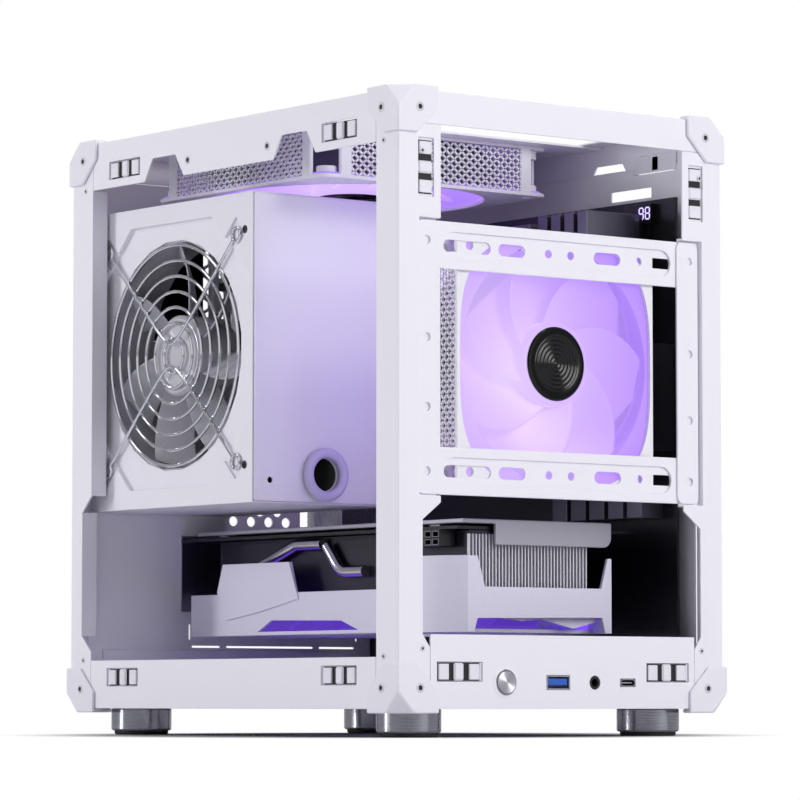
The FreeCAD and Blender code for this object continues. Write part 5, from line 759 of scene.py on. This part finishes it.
# Graphics card: a lilac-white moulded cover with facets over a stack of bright fins, a
# black board, a bent grey plate on top and nickel heat pipes along the open side.
def turned_sheet(shape):
    """A sheet drawn in Y and Z with its gauge toward the left: X is the gauge taken backward."""
    points, faces = shape
    points = np.asarray(points)
    return np.stack([-points[:, 2], points[:, 0], points[:, 1]], -1), faces


def upright_wall(plan, low, high):
    """A wall with the given plan between two heights."""
    count = len(plan)
    points = [(x, y, level) for level in (low, high) for x, y in plan]
    following = [(index + 1) % count for index in range(count)]
    faces = [[index, after, count + after, count + index] for index, after in enumerate(following)]
    return np.array(points), faces + [list(range(count))[::-1], list(range(count, 2 * count))]


cover_white = finish("lilac white moulded plastic", "E4E0F0", "DAD6E8", 0.8, 0.42, 0.08)
front_face = [
    (-29.5, 49), (-25.5, 49), (-23.5, 55.5), (53.5, 56.5), (55.5, 49), (59.5, 49),
    (59.5, 85), (57, 85), (53, 70.5), (-19, 70.5), (-23.5, 85), (-29.5, 85),
]
left_face = [
    (-74, 49), (-29, 49), (-10, 55.5), (47.2, 56.4), (62, 49), (116, 49),
    (116, 70), (91.5, 70), (87.5, 85), (31.5, 85), (26.5, 70), (-74, 70),
]
raised_panel = [(92.4, 71), (87.5, 85), (31.5, 85), (23.7, 66.6), (58.3, 60.3), (84.1, 56.9)]
right_face = [(-72, 49), (116, 49), (116, 70), (-90, 70), (-97.5, 85), (-97.5, 49)]
bottom_face = [(-38, -72), (-36, -86), (59, -86), (59, 115.5), (-38, 115.5)]
corner_facet = [(-38.5, -74), (-36.8, -87), (-29.5, -98), (-28.6, -96.4), (-35.2, -86.2), (-36.7, -74)]
facet_end = [(-38.5, -73.5), (-36.7, -73.5), (-36.7, -60), (-37.7, -60)]
skirt = [(-20, 57.5), (8, 54.5), (20.3, 55.5), (39.7, 51.2), (54.5, 54.6), (54.5, 58)]
fan_mouths = [ring_points(42.0, 72) + [13.5, along] for along in (-36.0, 63.0)]
cover = joined(
    moved(cut_sheet([front_face], 1.8, 0.3), (0, -96.2, 0), "front"),
    moved(turned_sheet(cut_sheet([left_face], 1.5, 0.3)), (-36.2, 0, 0)),
    moved(turned_sheet(cut_sheet([raised_panel], 0.8, 0.25)), (-37.7, 0, 0)),
    moved(turned_sheet(cut_sheet([right_face], 1.8, 0.3)), (59.4, 0, 0)),
    moved(cut_sheet([bottom_face] + fan_mouths, 1.8, 0.3), (0, 0, 49.1)),
    block((-37.5, 114, 49), (59.4, 116, 70), 0.3),
    moved(cut_sheet([skirt], 1.0, 0.1), (0, -91.5, 0), "front"),
    upright_wall(corner_facet, 49, 85),
    upright_wall(facet_end, 49, 70),
)
make_piece("faceted_cover", cover, cover_white, "case", "shroud_white", "gpu_shroud")
dress(finish("grey coated plate", "B7B5BF", "A9A7B2", 0.5, 0.4, 0.1, Metallic=0.5), 0.5, "gpu_backplate")
dress(finish("plated bracket", "C4C3CA", "B5B4BC", 0.5, 0.3, 0.05, Metallic=1.0), 0.2, "gpu_bracket")
dress(solder_mask, 0.15, "gpu_board")
dress(black_plastic, 0.3, "gpu_power_socket")
violet = linear("7A4DE8")
lit_carrier = finish(
    "violet lit plastic", "6A45C8", "5A38B4", 0.8, 0.4, 0.1, Emission_Color=violet, Emission_Strength=1.1,
)
dress(lit_carrier, 0.3, "gpu_fan_carrier")
lit_wheel = finish(
    "violet lit wheel", "4A3290", "3E2A7C", 0.8, 0.4, 0.1, Emission_Color=violet, Emission_Strength=0.45,
)
dress(lit_wheel, 0.3, "gpu_rotor_front", "gpu_rotor_rear")
cell = shell(round_box(3.1, 4.9, 0.8), round_box(2.3, 4.1, 0.5), 0, 0.12)
cells = [
    moved(cell, (-35.5, along, level), "left")
    for along, level in itertools.product(np.linspace(-81.2, -63.8, 4), (91.5, 95.3))
]
make_piece("socket_cells", joined(*cells), grey_aluminium, "case", "black_plastic")
# The fins come in two copies of one metal: a bright one on their front edges and a dark one, painted shade,
# on the sheets inside the stack.
fin_metal = finish("bright fin sheet", "F0EFF6", "E6E5EE", 0.5, 0.3, 0.03, Metallic=0.3)
fin_metal_in_painted_shade = finish("fin sheet in shade", "3E3D46", "33323A", 0.5, 0.35, 0.03, Metallic=0.8)
fin_places = np.arange(-25.4, 47.0, 2.0)
edges = [block((x - 0.05, -94, 63.5), (x + 0.65, -92.4, 95.4), 0.1) for x in fin_places]
make_piece("fin_edges", joined(*edges), fin_metal, "case", "fin_metal")
fins = [block((x, -92.5, 63.6), (x + 0.5, 107.8, 95.4), 0.1) for x in fin_places]
fins.append(block((-25.5, -94, 95.2), (47.5, 108, 97.2), 0.3))
make_piece("fin_sheets", joined(*fins), fin_metal_in_painted_shade, "case", "fin_metal", "gpu_fin_stack")


def rounded_line(points, bend):
    """A line through points in Y and Z with each corner replaced by an arc of the given radius."""
    points = np.array(points, float)
    line = [points[0]]
    for before, corner, after in zip(points, points[1:], points[2:]):
        arrive = (corner - before) / np.linalg.norm(corner - before)
        leave = (after - corner) / np.linalg.norm(after - corner)
        half_turn = math.acos(np.clip(arrive @ leave, -1, 1)) / 2
        back = bend * math.tan(half_turn)
        centre = corner + (leave - arrive) / np.linalg.norm(leave - arrive) * bend / math.cos(half_turn)
        start, end = corner - arrive * back - centre, corner + leave * back - centre
        for share in np.linspace(0, 1, 9):
            swing = (1 - share) * start + share * end
            line.append(centre + swing / np.linalg.norm(swing) * bend)
    line.append(points[-1])
    return np.array(line)


nickel = finish("nickel plated copper pipe", "D9D6D8", "CBC8CB", 0.8, 0.14, 0.03, Metallic=1.0)
pipes = []
for route in ([(74, 81.5), (38, 93.5), (16, 93.5)], [(13, 92.5), (2, 79.5), (-18, 79.5)]):
    bent = rounded_line(route, 12)
    pipes.append(tube(np.c_[np.full(len(bent), -28.7), bent], 2.95, 20, (1, 0, 0)))
make_piece("bent_pipes", joined(*pipes), nickel, "case", "pipe_nickel", "gpu_heat_pipes")

# Studio: a white floor that shows only the shadow of the case, deepened near the case by painted
# shade, a white surround, a broad light in front, weaker ones on the open side, overhead and behind, and the
# glow of a fan.
world = bpy.data.worlds.new("white surround")
scene.world = world
world.use_nodes = True
sky = world.node_tree
sky.nodes.clear()
path = add(sky, "LightPath", {}, {})
seen = add(sky, "Background", {"Color": (1, 1, 1, 1), "Strength": 1.0}, {})
where = add(sky, "TexCoord", {}, {})
round_view = add(sky, "TexGradient", {"gradient_type": "RADIAL"}, {"Vector": where.outputs["Generated"]})
panels = add(sky, "ValToRGB", {}, {0: round_view.outputs["Fac"]})
stops = panels.color_ramp.elements
stops[0].color = (0.4, 0.4, 0.42, 1)
stops[1].color = (0.4, 0.4, 0.42, 1)
wall_levels = [
    (0.14, 0.22), (0.24, 0.6), (0.29, 1.2), (0.335, 1.2), (0.36, 0.3), (0.45, 0.5),
    (0.6, 0.6), (0.885, 0.4), (0.9, 2.8), (0.935, 2.8), (0.95, 0.4),
]
for place, level in wall_levels:
    stops.new(place).color = (level, level, level * 1.03, 1)
lighting = add(sky, "Background", {"Strength": 0.72}, {"Color": panels.outputs[0]})
either = add(
    sky, "MixShader", {}, {0: path.outputs["Is Camera Ray"], 1: lighting.outputs[0], 2: seen.outputs[0]},
)
add(sky, "OutputWorld", {}, {"Surface": either.outputs[0]})

paper = bpy.data.materials.new("white paper floor")
paper.use_nodes = True
tree = paper.node_tree
tree.nodes.clear()
path = add(tree, "LightPath", {}, {})
# Near the case the camera sees the floor darker than bounced light does: painted shade that deepens the
# shadow.
painted_shade_tones = {"data_type": "RGBA", 6: linear("D6D6DA"), 7: linear("8A8A8E")}
painted_shade_tone = add(tree, "Mix", painted_shade_tones, {0: path.outputs["Is Camera Ray"]})
matt = add(tree, "BsdfDiffuse", {}, {"Color": painted_shade_tone.outputs[2]})
bright = add(tree, "Emission", {"Color": (1, 1, 1, 1), "Strength": 1.0}, {})
where = add(tree, "TexCoord", {}, {})
away = add(tree, "VectorMath", {"operation": "LENGTH"}, {0: where.outputs["Object"]})
fade_range = {"interpolation_type": "SMOOTHSTEP", 1: 0.12, 2: 0.2, 3: 0.0, 4: 1.0}
fade = add(tree, "MapRange", fade_range, {0: away.outputs["Value"]})
share = add(tree, "Math", {"operation": "MULTIPLY"}, {0: path.outputs["Is Camera Ray"], 1: fade.outputs[0]})
blend = add(tree, "MixShader", {}, {0: share.outputs[0], 1: matt.outputs[0], 2: bright.outputs[0]})
add(tree, "OutputMaterial", {}, {"Surface": blend.outputs[0]})
ground = bpy.data.meshes.new("floor")
ground.from_pydata([(-6, -6, 0), (6, -6, 0), (6, 6, 0), (-6, 6, 0)], [], [[0, 1, 2, 3]])
ground.materials.append(paper)
floor = bpy.data.objects.new("floor", ground)
scene.collection.objects.link(floor)

# Name, place and aim in metres, watts, width, height and tint
for name, place, aim, power, width, height, tint in (
    ("key light", (0.4, -1.9, 0.9), (0, -0.1, 0.15), 19.5, 1.0, 1.1, "FFFFFF"),
    ("side light", (-1.6, -0.2, 0.7), (-0.1, 0, 0.15), 1.6, 1.0, 1.0, "FFFFFF"),
    ("top light", (0.1, 0.2, 1.7), (0, 0, 0.1), 9, 1.3, 1.3, "FFFFFF"),
    ("fan glow", (-0.03, -0.099, 0.18), (-0.045, 0, 0.19), 0.035, 0.09, 0.09, "C8B4FF"),
    ("strip light", (-1.04, 0.6, 0.3), (0, 0, 0.1), 4, 0.12, 0.9, "FFFFFF"),
):
    lamp = bpy.data.lights.new(name, "AREA")
    lamp.shape = "RECTANGLE"
    lamp.size = width
    lamp.size_y = height
    lamp.energy = power
    lamp.color = linear(tint)[:3]
    light = bpy.data.objects.new(name, lamp)
    facing = (Vector(aim) - Vector(place)).to_track_quat("-Z", "Y").to_matrix().to_4x4()
    light.matrix_world = Matrix.Translation(place) @ facing
    scene.collection.objects.link(light)

# Large flat faces keep their own shading beside narrow rolled edges.
for piece in made:
    even = piece.modifiers.new("even shading", "WEIGHTED_NORMAL")
    even.keep_sharp = True

scene.view_settings.view_transform = "Standard"
